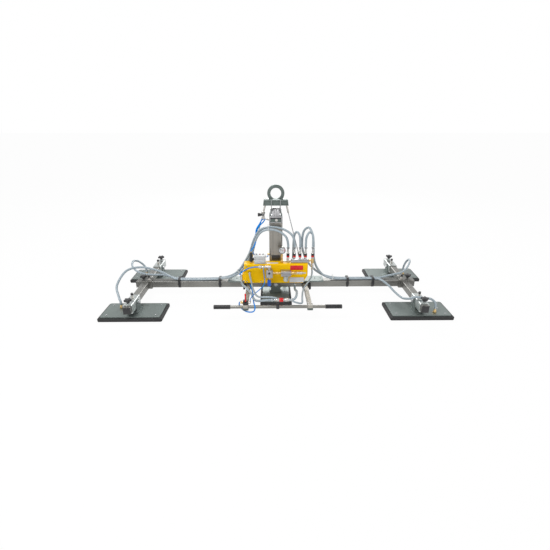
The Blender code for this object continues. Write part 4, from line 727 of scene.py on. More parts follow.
VACUUM_HOSES = [
    ("front_left", [
        (V1, ROW_Y, TAIL_TOP), (V1, ROW_Y, 0.43), (0.07, -0.094, 0.485), (0.015, -0.097, 0.527),
        (-0.055, -0.098, 0.5385), (-0.112, -0.092, 0.512), (-0.15, -0.075, 0.44), (-0.178, -0.055, 0.345),
        (-0.215, -0.036, 0.262), (-0.268, -0.026, 0.19), (-0.335, -0.018, 0.1475),
        (-0.4235, -0.0145, DECK + 0.006), (-0.5, -0.0145, DECK + 0.002),
        (STRAP_LEFT, -0.0145, DECK + 0.002), (-0.8, -0.018, 0.155), (-0.87, -0.022, 0.197),
        (-0.99, -0.045, 0.238), (-1.085, -0.1, 0.232), (-1.125, -0.2, 0.165), (-1.1, -0.262, 0.11),
        *ends_of("front_left")],
        [(13, "root"), (17, ("root", "cross_left")), (19, ("cross_left", "sleeve_front_left")),
         (21, ("sleeve_front_left", "pad_front_left"))]),
    ("rear_left", [
        (V2, ROW_Y, TAIL_TOP), (V2, ROW_Y, 0.435), (0.112, -0.089, 0.497), (0.04, -0.08, 0.54),
        (-0.052, -0.078, 0.55), (-0.118, -0.072, 0.522), (-0.16, -0.056, 0.445), (-0.19, -0.036, 0.35),
        (-0.234, -0.018, 0.262), (-0.28, -0.006, 0.193), (-0.338, 0.001, 0.1495),
        (-0.4235, 0.0025, DECK + 0.006), (-0.5, 0.0025, DECK + 0.002), (STRAP_LEFT, 0.0025, DECK + 0.002),
        (-0.8, 0.017, 0.1335), (-0.865, 0.036, 0.142), (-0.945, 0.043, 0.1405), (-1.02, 0.061, 0.1415),
        (-1.09, 0.1, 0.15), (-1.14, 0.16, 0.168), (-1.15, 0.222, 0.184), (-1.128, 0.264, 0.168),
        (-1.094, 0.285, 0.125), (-1.08, 0.29, 0.085), (-1.08, 0.29, NIPPLE_TOP)],
        [(13, "root"), (18, ("root", "cross_left")), (22, ("cross_left", "sleeve_rear_left")),
         (24, ("sleeve_rear_left", "pad_rear_left"))]),
    ("centre", [
        (V3, ROW_Y, TAIL_TOP), (V3, ROW_Y, 0.44), (0.168, -0.088, 0.49), (0.15, -0.075, 0.514),
        (0.133, -0.06, 0.49), (0.128, -0.05, 0.44), (0.127, -0.04, 0.36), (0.126, -0.032, 0.29),
        (0.124, -0.008, 0.24), (0.117, 0.036, 0.2), (0.104, 0.072, 0.165), (0.085, 0.098, 0.125),
        (0.071, 0.11, 0.092), (0.07, 0.11, 0.074), (0.07, 0.11, NIPPLE_TOP)],
        [(9, "root"), (14, ("root", "pad_centre"))]),
    ("front_right", [
        (V4, ROW_Y, TAIL_TOP), (V4, ROW_Y, 0.43), (0.216, -0.089, 0.478), (0.236, -0.078, 0.511),
        (0.262, -0.06, 0.49), (0.272, -0.048, 0.43), (0.275, -0.041, 0.38), (0.281, -0.037, 0.3),
        (0.302, -0.033, 0.235), (0.345, -0.029, 0.175), (0.4, -0.023, 0.14), (0.46, -0.016, 0.128),
        (0.546, -0.0145, DECK + 0.002), (STRAP_RIGHT, -0.0145, DECK + 0.002), (0.79, -0.032, 0.127),
        (0.835, -0.09, 0.108), (0.868, -0.17, 0.084), (0.893, -0.25, 0.08), (0.918, -0.316, 0.106),
        (0.945, -0.346, 0.1325), (0.989, -0.359, 0.1335), (1.045, -0.361, 0.126), (1.074, -0.37, 0.104),
        *ends_of("front_right")],
        [(13, "root"), (17, ("root", "cross_right")), (21, ("cross_right", "sleeve_front_right")),
         (24, ("sleeve_front_right", "pad_front_right"))]),
    ("rear_right", [
        (V5, ROW_Y, TAIL_TOP), (V5, ROW_Y, 0.44), (0.259, -0.084, 0.497), (0.236, -0.05, 0.538),
        (0.204, -0.028, 0.511), (0.192, -0.022, 0.45), (0.198, -0.022, 0.36), (0.234, -0.02, 0.272),
        (0.29, -0.012, 0.205), (0.345, -0.004, 0.162), (0.4, 0.0, 0.139), (0.46, 0.002, 0.128),
        (0.546, 0.0025, DECK + 0.002), (STRAP_RIGHT, 0.0025, DECK + 0.002), (0.8, 0.006, 0.1245),
        (0.87, 0.027, 0.132), (0.925, 0.042, 0.137), (0.985, 0.066, 0.142), (1.04, 0.12, 0.155),
        (1.085, 0.19, 0.178), (1.098, 0.245, 0.18), (1.09, 0.28, 0.145), (1.08, 0.29, 0.095),
        (1.08, 0.29, NIPPLE_TOP)],
        [(13, "root"), (18, ("root", "cross_right")), (21, ("cross_right", "sleeve_rear_right")),
         (23, ("sleeve_rear_right", "pad_rear_right"))]),
]
for label, points, cuts in VACUUM_HOSES:
    run(f"vacuum_hose_{label}", points, cuts, HOSE_R, HOSE, replaces=[f"hose_{label}"])
BAR_Y, SLIDE_Z = -0.42, 0.1545
run("handle_hose_left", [
    (-0.25, -0.09, 0.1547), (-0.25, -0.09, 0.147), (-0.25, -0.104, 0.134), (-0.238, -0.14, 0.132),
    (-0.206, -0.2, 0.134), (-0.172, -0.28, 0.129), (-0.152, -0.35, 0.126), (-0.125, -0.395, 0.135),
    (-0.082, -0.415, 0.149), (-0.04, BAR_Y, SLIDE_Z), (-0.0172, BAR_Y, SLIDE_Z)],
    [(3, "root"), (7, ("root", "handle")), (10, "handle")], HOSE_R, HOSE, replaces=["hose_handle_left"])
run("handle_hose_right", [
    (0.0886, BAR_Y, SLIDE_Z), (0.1, BAR_Y, SLIDE_Z), (0.118, -0.41, 0.156), (0.132, -0.375, 0.158),
    (0.141, -0.3, 0.148), (0.143, -0.22, 0.126), (0.142, -0.155, 0.098), (0.14, -0.116, 0.088),
    (0.14, -0.094, 0.096), (0.14, -0.09, 0.113), (0.14, -0.09, 0.1247)],
    [(3, "handle"), (7, ("handle", "root")), (10, "root")], HOSE_R, HOSE, replaces=["hose_handle_right"])

# %% [markdown]
# ## Fittings on the pads
# Each hose ends on a barbed tail that is screwed into the plate, under a worm-drive clamp. The
# pad's cheeks hang on two pins with washers, and screws hold the plate to its stiffener. The clamp
# is a band with a small screw housing, and it is used for every hose on the lifter.

# %% Clamps, pins and plate screws
PLATE_TOP, PIVOT_Z = 0.03, 0.09
CROSS_X, PAD_Y = 0.9825, 0.317


def clamp(work, start, along, radius, toward, wide=0.009):
    """A worm-drive clamp: a band, its screw housing and the screw, on the side named."""
    start, along, toward = Vector(start), Vector(along).normalized(), Vector(toward).normalized()
    work.hoop(start, along, radius, radius + 0.001, wide, 0.0002, 28)
    middle = start + along * wide / 2 + toward * (radius + 0.003)
    across = along.cross(toward).normalized()
    turn = Matrix((across, toward, along)).transposed().to_4x4()
    before = set(work.bm.faces)
    size = Matrix.Diagonal((0.011, 0.005, wide * 0.94, 1.0))
    bmesh.ops.create_cube(work.bm, size=1.0, matrix=Matrix.Translation(middle) @ turn @ size)
    work.settle(before, 0.001)
    end = middle + across * 0.0085
    return work.bar(middle + across * 0.004, end, 0.0034, sides=6, bevel=0.0004)


def screw_head(work, place, up, radius, high, dark=BLACK):
    """A socket screw: a turned head with a dark socket."""
    place, up = Vector(place), Vector(up).normalized()
    plain = work.index
    work.lathe([(0, 0), (radius, 0), (radius, high * 0.8), (radius * 0.9, high), (radius * 0.5, high),
                (radius * 0.5, high - 0.0003), (0, high - 0.0003)], place, up, 18)
    work.use(dark).bar(place + up * (high - 0.0006), place + up * (high - 0.0001), radius * 0.46, sides=6)
    work.index = plain
    return work


def on_plate(middle, turned, u, v, z):
    """A place on a pad's plate: u along the plate and v across it."""
    return middle + Vector((v, u, z) if turned else (u, v, z))


SCREW_LONG, SCREW_WIDE = 0.168, 0.072
WELD_HALF, WELD_Z = 0.043, PLATE_TOP + 0.0062
for label in [f"{place}_{word}" for _, place, _, word in ENDS] + ["centre"]:
    body = f"pad_{label}"
    x, y = NIPPLE[label]
    work = Work(BRASS)
    work.nut((x, y, PLATE_TOP + 0.0002), (x, y, PLATE_TOP + 0.0106), 0.0122)
    work.lathe([(0.0064, 0.01), (0.0092, 0.0104), (0.0078, 0.016), (0.0092, 0.0166), (0.0078, 0.022),
                (0.0092, 0.0226), (0.0066, 0.028)], (x, y, PLATE_TOP), UP, 24)
    work.use(STEEL)
    clamp(work, (x, y, NIPPLE_TOP + 0.004), UP, CLAMP_R, (1 if x > 0 else -1, -0.6, 0))
    work.done(f"hose_tail_{label}", body)
    turned = label == "centre"
    middle = Vector((0, 0, 0)) if turned else Vector((math.copysign(CROSS_X, x), math.copysign(PAD_Y, y), 0))
    work = Work(STEEL)
    for u in (-SCREW_LONG, SCREW_LONG):
        for v in (-SCREW_WIDE, SCREW_WIDE):
            screw_head(work, on_plate(middle, turned, u, v, PLATE_TOP), UP, 0.0065, 0.003)
    weld = 0.0362 if turned else 0.0305
    for u in (-weld, weld):
        for v in (-WELD_HALF, WELD_HALF):
            work.bar(on_plate(middle, turned, u, v, WELD_Z), on_plate(middle, turned, u, 0, WELD_Z),
                     0.0022, sides=8)
    work.done(f"plate_screws_{label}", body)
    holder = "root" if turned else f"sleeve_{label}"
    reach = 0.0436 if turned else 0.0379
    work = Work(STEEL)
    for side in (-1, 1):
        out = Vector((0, side, 0)) if turned else Vector((side, 0, 0))
        start = middle + Vector((0, 0, PIVOT_Z)) + out * reach
        work.hoop(start, out, 0.008, 0.015, 0.0016, 0.0003)
        work.nut(start + out * 0.0018, start + out * 0.0078, 0.0118)
        work.lathe([(0, 0.0078), (0.0075, 0.0078), (0.0068, 0.0098), (0, 0.0105)], start, out, 20)
    work.done(f"pad_pins_{label}", holder)
print("tails, clamps, screws and pins on five pads")

# %% [markdown]
# ## End caps, plungers and straps on the beams
# Box tubes are closed with black plugs. The index holes along them take spring plungers, each with
# a hexagon body and a small black grip. Rubber straps hold the hoses down on the load beam: each is
# a loop made from a block with two open faces, whose wall is thickened by solidify.

# %% Caps, plungers and straps
BEAM_HALF, BEAM_Z0, BEAM_Z1 = 1.055, 0.065, 0.115
CROSS_HALF = 0.4435


def end_cap(name, x, y, z, body):
    """A black plug in the end of a box tube."""
    work = Work(BLACK)
    work.block(x, y, z, 0.0022, 3)
    work.done(name, body)


def plunger(name, x, y, z, body):
    """A spring plunger: hexagon body, steel pin and a waisted grip."""
    work = Work(NICKEL)
    work.nut((x, y, z + 0.0002), (x, y, z + 0.0105), 0.0098)
    work.bar((x, y, z + 0.01), (x, y, z + 0.0245), 0.0052, sides=20)
    work.use(BLACK).lathe([(0, 0.0225), (0.0062, 0.0225), (0.0088, 0.025), (0.0092, 0.033),
                           (0.0084, 0.0372), (0.005, 0.039), (0, 0.0392)], (x, y, z), UP, 28)
    work.done(name, body)


for side, word in zip((-1, 1), WORDS):
    x = sorted((side * (BEAM_HALF + 0.0002), side * (BEAM_HALF + 0.0036)))
    end_cap(f"beam_cap_{word}", x, (-0.0302, 0.0302), (BEAM_Z0 - 0.0002, BEAM_Z1 + 0.0002), "root")
    middle = side * CROSS_X
    for end, place in ((-1, "front"), (1, "rear")):
        y = sorted((end * (CROSS_HALF - 0.0022), end * (CROSS_HALF + 0.0016)))
        end_cap(f"cross_cap_{place}_{word}", (middle - 0.0252, middle + 0.0252), y,
                (BEAM_Z0 - 0.0002, BEAM_Z1 + 0.0002), f"cross_{word}")
        plunger(f"sleeve_plunger_{place}_{word}", middle, end * PAD_Y, 0.1211, f"sleeve_{place}_{word}")
    plunger(f"slider_plunger_{word}", side * (CROSS_X - 0.024), -0.018, 0.1216, f"cross_{word}")


def strap(name, x, y, z, wide=0.017, thick=0.0022):
    """A rubber loop round the load beam and the hoses on it, with its buckle."""
    work = Work(BLACK)
    bm = work.bm
    size = Matrix.Diagonal((wide, y[1] - y[0], z[1] - z[0], 1.0))
    place = Matrix.Translation((x, sum(y) / 2, sum(z) / 2))
    bmesh.ops.create_cube(bm, size=1.0, matrix=place @ size)
    long_edges = [e for e in bm.edges if abs(e.verts[0].co.x - e.verts[1].co.x) > wide / 2]
    bmesh.ops.bevel(bm, geom=long_edges, offset=0.009, offset_type="OFFSET", segments=6, profile=0.5,
                    affect="EDGES", material=-1)
    open_faces = [f for f in bm.faces if abs(f.normal.x) > 0.9]
    bmesh.ops.delete(bm, geom=open_faces, context="FACES_ONLY")
    bmesh.ops.solidify(bm, geom=list(bm.faces), thickness=-thick)
    work.block((x - wide * 0.62, x + wide * 0.62), (y[0] - 0.0052, y[0] - thick), (0.083, 0.104), 0.0012)
    work.done(name, "root")


STRAPS = {"outer_left": STRAP_LEFT, "inner_left": -0.4235, "inner_right": 0.546, "outer_right": STRAP_RIGHT}
for label, x in STRAPS.items():
    strap(f"strap_{label}", x, (-0.0306, 0.0306), (BEAM_Z0 - 0.0006, DECK + HOSE_R + 0.0028))
print("caps, plungers and", len(STRAPS), "straps")

# %% [markdown]
# ## The hanger
# A crane hook takes the ring. The ring stands on a short channel with sloped ends, and two plates
# go down from it to the pin of the cylinder's clevis. It is one weldment, so it stands in for one
# solid: the ring is turned as a square-edged hoop, the rest is slabs with broken edges.

# %% Ring, channel, plates and pin
XZ = Matrix(((1, 0, 0, 0), (0, 0, -1, 0), (0, 1, 0, 0), (0, 0, 0, 1)))
YZ = Matrix(((0, 0, 1, 0), (1, 0, 0, 0), (0, 1, 0, 0), (0, 0, 0, 1)))
EYE_Z, SPREAD_LOW, SPREAD_TOP, FLANGE_LOW = 0.771, 0.6915, 0.7325, 0.7225
PIN_Z, BASE_LOW = 0.6515, 0.6122


def arc(u, v, radius, start, end, steps=10):
    """Points on a circle round (u, v), from one angle in degrees to another."""
    angles = [math.radians(start + (end - start) * i / steps) for i in range(steps + 1)]
    return [(u + radius * math.cos(a), v + radius * math.sin(a)) for a in angles]


def facing(plane, level):
    """The place of a slab drawn in a plane, at a level along the plane's own axis."""
    return Matrix.Translation((0, level, 0)) @ XZ if plane is XZ else Matrix.Translation((level, 0, 0)) @ YZ


hanger = Work(DARK_ZINC_AND_SHADE)
hanger.hoop((0, -0.007, EYE_Z), (0, 1, 0), 0.0375, 0.06, 0.014, 0.003, 72)
# The webs under the top plate are in the darker zinc: painted shade.
web = [(-0.0885, SPREAD_LOW), (0.0885, SPREAD_LOW), (0.0838, FLANGE_LOW), (-0.0838, FLANGE_LOW)]
for y in (-0.026, 0.032):
    hanger.slab(web, facing(XZ, y), 0.006, 0.0006)
hanger.use(ZINC).block((-0.0815, 0.0815), (-0.036, 0.035), (FLANGE_LOW, SPREAD_TOP), 0.0012)
# The strip at the channel's foot is in the darker zinc: painted shade.
hanger.use(DARK_ZINC_AND_SHADE).block((-0.089, 0.089), (-0.035, -0.027), (SPREAD_LOW, SPREAD_LOW + 0.0042), 0.0008)
for side in (-1, 1):
    end_plate = [(side * 0.089, SPREAD_LOW), (side * 0.082, SPREAD_LOW), (side * 0.077, SPREAD_TOP - 0.001),
                 (side * 0.084, SPREAD_TOP - 0.001)]
    # The sloped end plates are in the darker zinc: painted shade.
    hanger.use(DARK_ZINC_AND_SHADE).slab(end_plate, facing(XZ, 0.035), 0.0705, 0.0006)
    # The side plates are in a lighter copy of the zinc: painted light.
    hanger.use(ZINC_PAINTED_LIGHT)
    plate = ([(-0.046, SPREAD_TOP - 0.003), (-0.046, 0.68)] + arc(0, PIN_Z, 0.02, 200, 340, 14)
             + [(0.046, 0.68), (0.046, SPREAD_TOP - 0.003)])
    hanger.slab(plate, facing(YZ, 0.0283 if side > 0 else -0.0338), 0.0055, 0.0009)
hanger.use(STEEL).bar((-0.04, 0, PIN_Z), (0.04, 0, PIN_Z), 0.008, sides=32, bevel=0.0012)
for side in (-1, 1):
    hanger.hoop((side * 0.0342, 0, PIN_Z), (side, 0, 0), 0.0081, 0.014, 0.0018, 0.0003)
    hanger.bar((side * 0.0385, -0.011, PIN_Z), (side * 0.0385, 0.013, PIN_Z), 0.0014, sides=10)
hanger.done("hanger", "root", ["spreader"])
print("hanger ring", 0.075, "m inside")

# %% [markdown]
# ## Clevis and cylinder head
# The clevis is a base with three upright lugs that the pin goes through, between the hanger plates.
# The head under it is a frame round a recess, where a bright plug sits below a dark slot: the slot is
# a black sheet under the frame's top bar, painted shade, and the recess back is painted darker as shade.

# %% Clevis lugs and the head's frame
SCREW_Y = 0.0345 * 1.18
lugs = Work(ALUMINIUM)
lug = [(0.0365, BASE_LOW + 0.004)] + arc(0, PIN_Z, 0.0165, 20, 160, 14) + [(-0.0365, BASE_LOW + 0.004)]
for x0, x1, sink in ((-0.0268, -0.0098, 0.0), (-0.0094, 0.0094, 0.0022), (0.0098, 0.0268, 0.0)):
    outline = [(v * (1 - sink / 0.0365), z) for v, z in lug]
    lugs.slab(outline, facing(YZ, x0), x1 - x0, 0.0012)
lugs.block((-0.0465, 0.0465), (-0.0465, 0.0465), (BASE_LOW, BASE_LOW + 0.007), 0.002)
for side in (-1, 1):
    shoulder = [(side * 0.046, BASE_LOW + 0.006), (side * 0.0355, BASE_LOW + 0.006), (side * 0.0355, 0.631),
                (side * 0.0385, 0.635), (side * 0.0425, 0.63)]
    lugs.use(ZINC).slab(shoulder, facing(XZ, 0.04), 0.08, 0.001)
    for y in (-SCREW_Y, SCREW_Y):
        screw_head(lugs.use(DARK_ZINC_AND_SHADE), (side * 0.03, y, BASE_LOW + 0.007), UP, 0.0045, 0.004, DARK_ZINC_AND_SHADE)
lugs.done("clevis", "root", ["clevis_block"])
head = Work(ALUMINIUM)
HEAD_LOW, HEAD_TOP, HEAD_HALF = 0.5715, 0.6119, 0.0475
for sign in (-1, 1):
    y = sorted((sign * 0.043, sign * HEAD_HALF))
    for side in (-1, 1):
        x = sorted((side * 0.0385, side * HEAD_HALF))
        head.use(ALUMINIUM).block(x, y, (HEAD_LOW, HEAD_TOP), 0.0012)
    head.block((-0.0385, 0.0385), y, (HEAD_TOP - 0.0045, HEAD_TOP), 0.0008)
    head.block((-0.0385, 0.0385), y, (HEAD_LOW, HEAD_LOW + 0.0055), 0.0008)
    slot_y = sorted((sign * 0.0425, sign * 0.0436))
    # A black sheet under the top bar: painted shade in the slot.
    head.use(BLACK).block((-0.0385, 0.0385), slot_y, (0.5985, HEAD_TOP - 0.0045), 0.0)
    head.use(NICKEL).lathe([(0, 0), (0.0105, 0), (0.0098, 0.0026), (0.006, 0.0034), (0, 0.0034)],
                           (0.004 * -sign, sign * 0.0432, 0.59), (0, sign, 0), 36)
# The recess back in the darker zinc: painted shade.
head.use(DARK_ZINC_AND_SHADE).block((-0.047, 0.047), (-0.0432, 0.0432), (HEAD_LOW, HEAD_TOP - 0.0005), 0.0)
head.done("head", "root", ["cylinder_head"])
print("clevis with three lugs")

# %% [markdown]
# ## Wire ropes
# The ropes take the load beam's weight beside the cylinder. A rope is six strands laid round a
# core, so a six-lobed section is spun along its line with a lift at each step, which winds it. The
# swaged sleeves and the threaded stud with its nut are turned on the same line.

# %% Ropes
ROPE_TOP, ROPE_LOW = (0.066, 0.723), (0.18, 0.285)
SLEEVE_END, TURNS = 0.09, 9


def rope_line(side):
    """One rope's upper seat, its direction and its length."""
    top, low = (Vector((side * x, 0, z)) for x, z in (ROPE_TOP, ROPE_LOW))
    return top, (low - top).normalized(), (low - top).length


def wire_rope(side, word):
    """A spun rope with its swaged sleeves, stud, washer and nut."""
    top, down, length = rope_line(side)
    work = Work(STEEL)
    place = along_to(top + down * SLEEVE_END, down)
    ring = bmesh.ops.create_circle(work.bm, cap_ends=False, segments=36, radius=0.003, matrix=place)["verts"]
    for vert in ring:
        local = place.inverted() @ vert.co
        angle = math.atan2(local.y, local.x)
        grow = 1.0 + 0.14 * abs(math.cos(3 * angle))
        vert.co = place @ Vector((local.x * grow, local.y * grow, 0))
    edges = list({e for v in ring for e in v.link_edges})
    reach = length - SLEEVE_END - 0.046
    before = set(work.bm.faces)
    bmesh.ops.spin(work.bm, geom=ring + edges, cent=place.translation, axis=down,
                   dvec=down * (reach / (TURNS * 10)), angle=TURNS * 2 * math.pi, steps=TURNS * 10,
                   use_merge=False, use_duplicate=False)
    work.settle(before, 0.0)
    work.use(NICKEL).lathe([(0, 0.038), (0.0058, 0.038), (0.0065, 0.042), (0.0067, 0.088), (0.006, 0.0925),
                            (0.0035, 0.096), (0, 0.096)], top, down, 28)
    work.lathe([(0, length - 0.054), (0.0038, length - 0.054), (0.006, length - 0.05),
                (0.0067, length - 0.046), (0.0067, length - 0.003), (0.006, length), (0, length)],
               top, down, 28)
    work.lathe([(0, -0.0122), (0.0054, -0.0122), (0.0059, -0.0115), (0.0059, 0.0385), (0, 0.0385)],
               top, down, 24)
    work.hoop(top + down * -0.0026, -down, 0.006, 0.0118, 0.0016, 0.0003)
    work.nut(top - down * 0.0042, top - down * 0.0116, 0.0104)
    work.done(f"wire_rope_{word}", "root", [f"rope_{word}"])


for side, word in zip((-1, 1), WORDS):
    wire_rope(side, word)
print("ropes", round(rope_line(1)[2], 3), "m between their seats")

# %% [markdown]
# ## Details on the cylinder
# The barrel keeps its solid. A real cylinder also shows its cap screws, nipples and a dark sensor
# block, and its rod is locked in the boss with a nut.

# %% Cylinder details
PORT_Y, PORT_Z = -0.018, 0.5913
SIGNAL_X, SIGNAL_Y, SIGNAL_Z = -0.0575, -0.03, 0.333
BARREL_FRONT = -0.0474
detail = Work(STEEL)
for x in (-0.038, 0.038):
    for z in (0.252, 0.278):
        screw_head(detail.use(STEEL), (x, -0.0475, z), AHEAD, 0.0042, 0.0022)
detail.use(BLACK).block((-0.03, 0.03), (-0.0522, BARREL_FRONT), (0.296, 0.325), 0.0012)
detail.block((-0.033, 0.033), (-0.0536, BARREL_FRONT), (0.325, 0.3285), 0.0006)
detail.use(NICKEL).nut((-0.047, PORT_Y, PORT_Z), (-0.0545, PORT_Y, PORT_Z), 0.0096)
detail.lathe([(0, 0.0), (0.007, 0.0), (0.007, 0.008), (0.0054, 0.0086), (0.0054, 0.012), (0, 0.012)],
             (-0.054, PORT_Y, PORT_Z), (-1, 0, 0), 24)
detail.use(BRASS)
detail.nut((-0.0474, SIGNAL_Y, SIGNAL_Z), (-0.054, SIGNAL_Y, SIGNAL_Z), 0.0082)
detail.bar((-0.0535, SIGNAL_Y, SIGNAL_Z), (-0.0625, SIGNAL_Y, SIGNAL_Z), 0.0058, bevel=0.0006)
detail.bar((SIGNAL_X, -0.027, SIGNAL_Z), (SIGNAL_X, -0.05, SIGNAL_Z), 0.0052, bevel=0.0006)
detail.use(STEEL).nut((0, 0, 0.1656), (0, 0, 0.178), 0.0215, 0.0012)
detail.done("cylinder_fittings", "root")
print("cylinder fittings")

# %% [markdown]
# ## Plates and ports on the tank
# The tank's solid stays. Its front carries blank plates, its corners screws, and its ports have
# fittings in nickel that sleeve the solid's plain bosses. The plates are left without lettering.

# %% Tank plates, screws and ports
TANK_FRONT, TANK_TOP = -0.13, 0.29


def film(name, x, z, finish, thick=0.0006):
    """A thin blank plate on the tank's front, with round corners."""
    work = Work(finish)
    before = set(work.bm.faces)
    made = bmesh.ops.create_grid(work.bm, x_segments=1, y_segments=1, size=0.5)["verts"]
    bmesh.ops.scale(work.bm, verts=made, vec=(x[1] - x[0], z[1] - z[0], 1))
    bmesh.ops.bevel(work.bm, geom=made, offset=0.0025, offset_type="OFFSET", segments=5, profile=0.5,
                    affect="VERTICES", material=-1)
    raise_faces(work.bm, list(work.bm.faces), (0, 0, thick))
    place = Matrix.Translation((sum(x) / 2, TANK_FRONT - 0.00005, sum(z) / 2)) @ XZ
    bmesh.ops.transform(work.bm, matrix=place, verts=work.bm.verts)
    work.settle(before, 0.0)
    return work.done(name, "root")


film("name_plate", (0.102, 0.195), (0.247, 0.281), PLATE_RED)
film("lower_plate", (0.098, 0.203), (0.15, 0.1885), PALE)
top_film = Work(PALE)
top_film.block((-0.07, 0.016), (-0.112, -0.092), (TANK_TOP + 0.0001, TANK_TOP + 0.0007), 0.0002)
top_film.done("top_plate", "root")

ports = Work(NICKEL)
LEFT_PORT, RIGHT_PORT = (-0.25, -0.09), (0.14, -0.09)
x, y = LEFT_PORT
ports.bar((x, y, 0.1605), (x, y, 0.1985), 0.0118, sides=28, bevel=0.001)
ports.nut((x, y, 0.1552), (x, y, 0.1655), 0.0136)
ports.nut((x, y, 0.19), (x, y, 0.201), 0.0136)
ports.nut((*RIGHT_PORT, 0.1252), (*RIGHT_PORT, 0.1425), 0.0112)
ports.use(STEEL)
clamp(ports, (*LEFT_PORT, 0.142), UP, CLAMP_R, (-0.4, -1, 0))
clamp(ports, (*RIGHT_PORT, 0.115), UP, CLAMP_R, (0.3, -1, 0))
for x in (-0.212, -0.106):
    for z in (0.275, 0.158):
        screw_head(ports.use(STEEL), (x, TANK_FRONT, z), AHEAD, 0.005, 0.0028)
ports.use(BLACK).block((-0.215, -0.193), (-0.118, -0.096), (0.133, 0.1432), 0.0016)
ports.use(YELLOW).block((-0.215, -0.185), (-0.133, -0.13), (0.236, 0.244), 0.001)
ports.done("tank_ports", "root")

# %% [markdown]
# A black check valve stands on the tank beside the control box. It is one turned profile, with five
# thin hoops for its ribs and a brass stub on top for the blue hose.

# %% The black check valve beside the control box
check = Work(BRASS)
CHECK = (-0.179, -0.096)
check.nut((*CHECK, TANK_TOP + 0.0002), (*CHECK, TANK_TOP + 0.011), 0.012)
check.use(BLACK).lathe([(0, 0.0105), (0.0105, 0.0105), (0.012, 0.013), (0.012, 0.03), (0.0108, 0.032),
                        (0.0108, 0.056), (0.0096, 0.062), (0.0082, 0.076), (0.006, 0.08), (0, 0.08)],
                       (*CHECK, TANK_TOP), UP)
for i in range(5):
    z = TANK_TOP + 0.034 + i * 0.0034
    check.hoop((*CHECK, z), UP, 0.0104, 0.0116, 0.0016, 0.0003, 28)
check.use(BRASS).bar((*CHECK, TANK_TOP + 0.079), (*CHECK, TANK_TOP + 0.088), 0.005, sides=20,
                     bevel=0.0005)
check.done("check_valve", "root")
print("blank plates, ports, screws and a check valve")

# %% [markdown]
# ## The control box
# A white moulded box sits on the tank: a base and a lid with a thin gap between them, three dark
# plugs and a red lamp on top, and a gland with a short blue tube at its side.

# %% Control box
CBOX_X, CBOX_Y, CBOX_TOP, LID_GAP = (-0.1556, -0.0748), (-0.125, -0.068), 0.352, 0.0012
PLUG_Y, GLAND_Y, GLAND_Z = -0.086, -0.095, 0.32


def inside(span, margin):
    """A span cut back at both ends."""
    return span[0] + margin, span[1] - margin


cbox = Work(WHITE)
cbox.block(CBOX_X, CBOX_Y, (TANK_TOP + 0.0003, 0.3205), 0.0038, 4)
cbox.block(inside(CBOX_X, LID_GAP), inside(CBOX_Y, LID_GAP), (0.3185, 0.324), 0.002)
cbox.block(CBOX_X, CBOX_Y, (0.3222, CBOX_TOP), 0.0042, 4)
cbox.block((-0.148, -0.0824), (CBOX_Y[0] - 0.0012, CBOX_Y[0] + 0.002), (0.2975, 0.313), 0.0008)
for i in range(3):
    cx = -0.139 + i * 0.0238
    cbox.use(BLACK).lathe([(0, 0), (0.0052, 0), (0.005, 0.003), (0.004, 0.0036), (0, 0.0036)],
                          (cx, PLUG_Y, CBOX_TOP - 0.0004), UP, 24)
cbox.block((-0.145, -0.0854), (-0.104, -0.0995), (CBOX_TOP - 0.0004, CBOX_TOP + 0.0003), 0.0002)
cbox.use(RED).lathe([(0, 0), (0.0036, 0), (0.0034, 0.0022), (0.002, 0.0034), (0, 0.0038)],
                    (-0.1152, -0.0975, CBOX_TOP - 0.0002), UP, 20)
for cx in inside(CBOX_X, 0.008):
    for cz in (0.33, 0.344):
        screw_head(cbox.use(NICKEL), (cx, CBOX_Y[0], cz), AHEAD, 0.0024, 0.0008)
cbox.use(BLACK).nut((-0.1554, GLAND_Y, GLAND_Z), (-0.1625, GLAND_Y, GLAND_Z), 0.0108)
cbox.bar((-0.162, GLAND_Y, GLAND_Z), (-0.168, GLAND_Y, GLAND_Z), 0.0085, bevel=0.001)
cbox.use(NICKEL).bar((-0.075, PLUG_Y, SIGNAL_Z), (-0.067, PLUG_Y, SIGNAL_Z), 0.0052, bevel=0.0006)
cbox.done("white_control_box", "root", ["control_box"])
run("signal_tube", [
    (-0.0675, PLUG_Y, SIGNAL_Z), (-0.062, -0.085, SIGNAL_Z), (-0.0585, -0.08, SIGNAL_Z),
    (SIGNAL_X, -0.07, SIGNAL_Z), (SIGNAL_X, -0.05, SIGNAL_Z)],
    [(4, "root")], THIN_R, BLUE_TUBE, step=0.003)
print("control box")

# %% [markdown]
# ## The valve row
# Five hand slide valves vent one pad each. A valve is a steel core with a knurled sleeve that
# slides up it, over a red ring. Three stand on a two-tier aluminium block, one on a plated tee and
# one on a brass elbow. The knurl is a many-lobed outline raised along the core.

# %% Manifold, valves and hose clamps
BLOCK_X, BLOCK_TOP, NUT_TOP = (0.1088, 0.238), 0.3203, 0.3323
SLEEVE_LOW, SLEEVE_LONG, COLLAR_Z, TAIL_Z = 0.3326, 0.036, 0.3759, 0.3959


def lobed(work, start, along, radius, wave, lobes, thick, bevel=0.0):
    """A knurled or ribbed disc: an outline with many lobes, raised along an axis."""
    outline = []
    for i in range(lobes * 4):
        angle = 2 * math.pi * i / (lobes * 4)
        reach = radius - wave * (i % 4 in (2, 3))
        outline.append((reach * math.cos(angle), reach * math.sin(angle)))
    return work.slab(outline, along_to(start, along), thick, bevel)


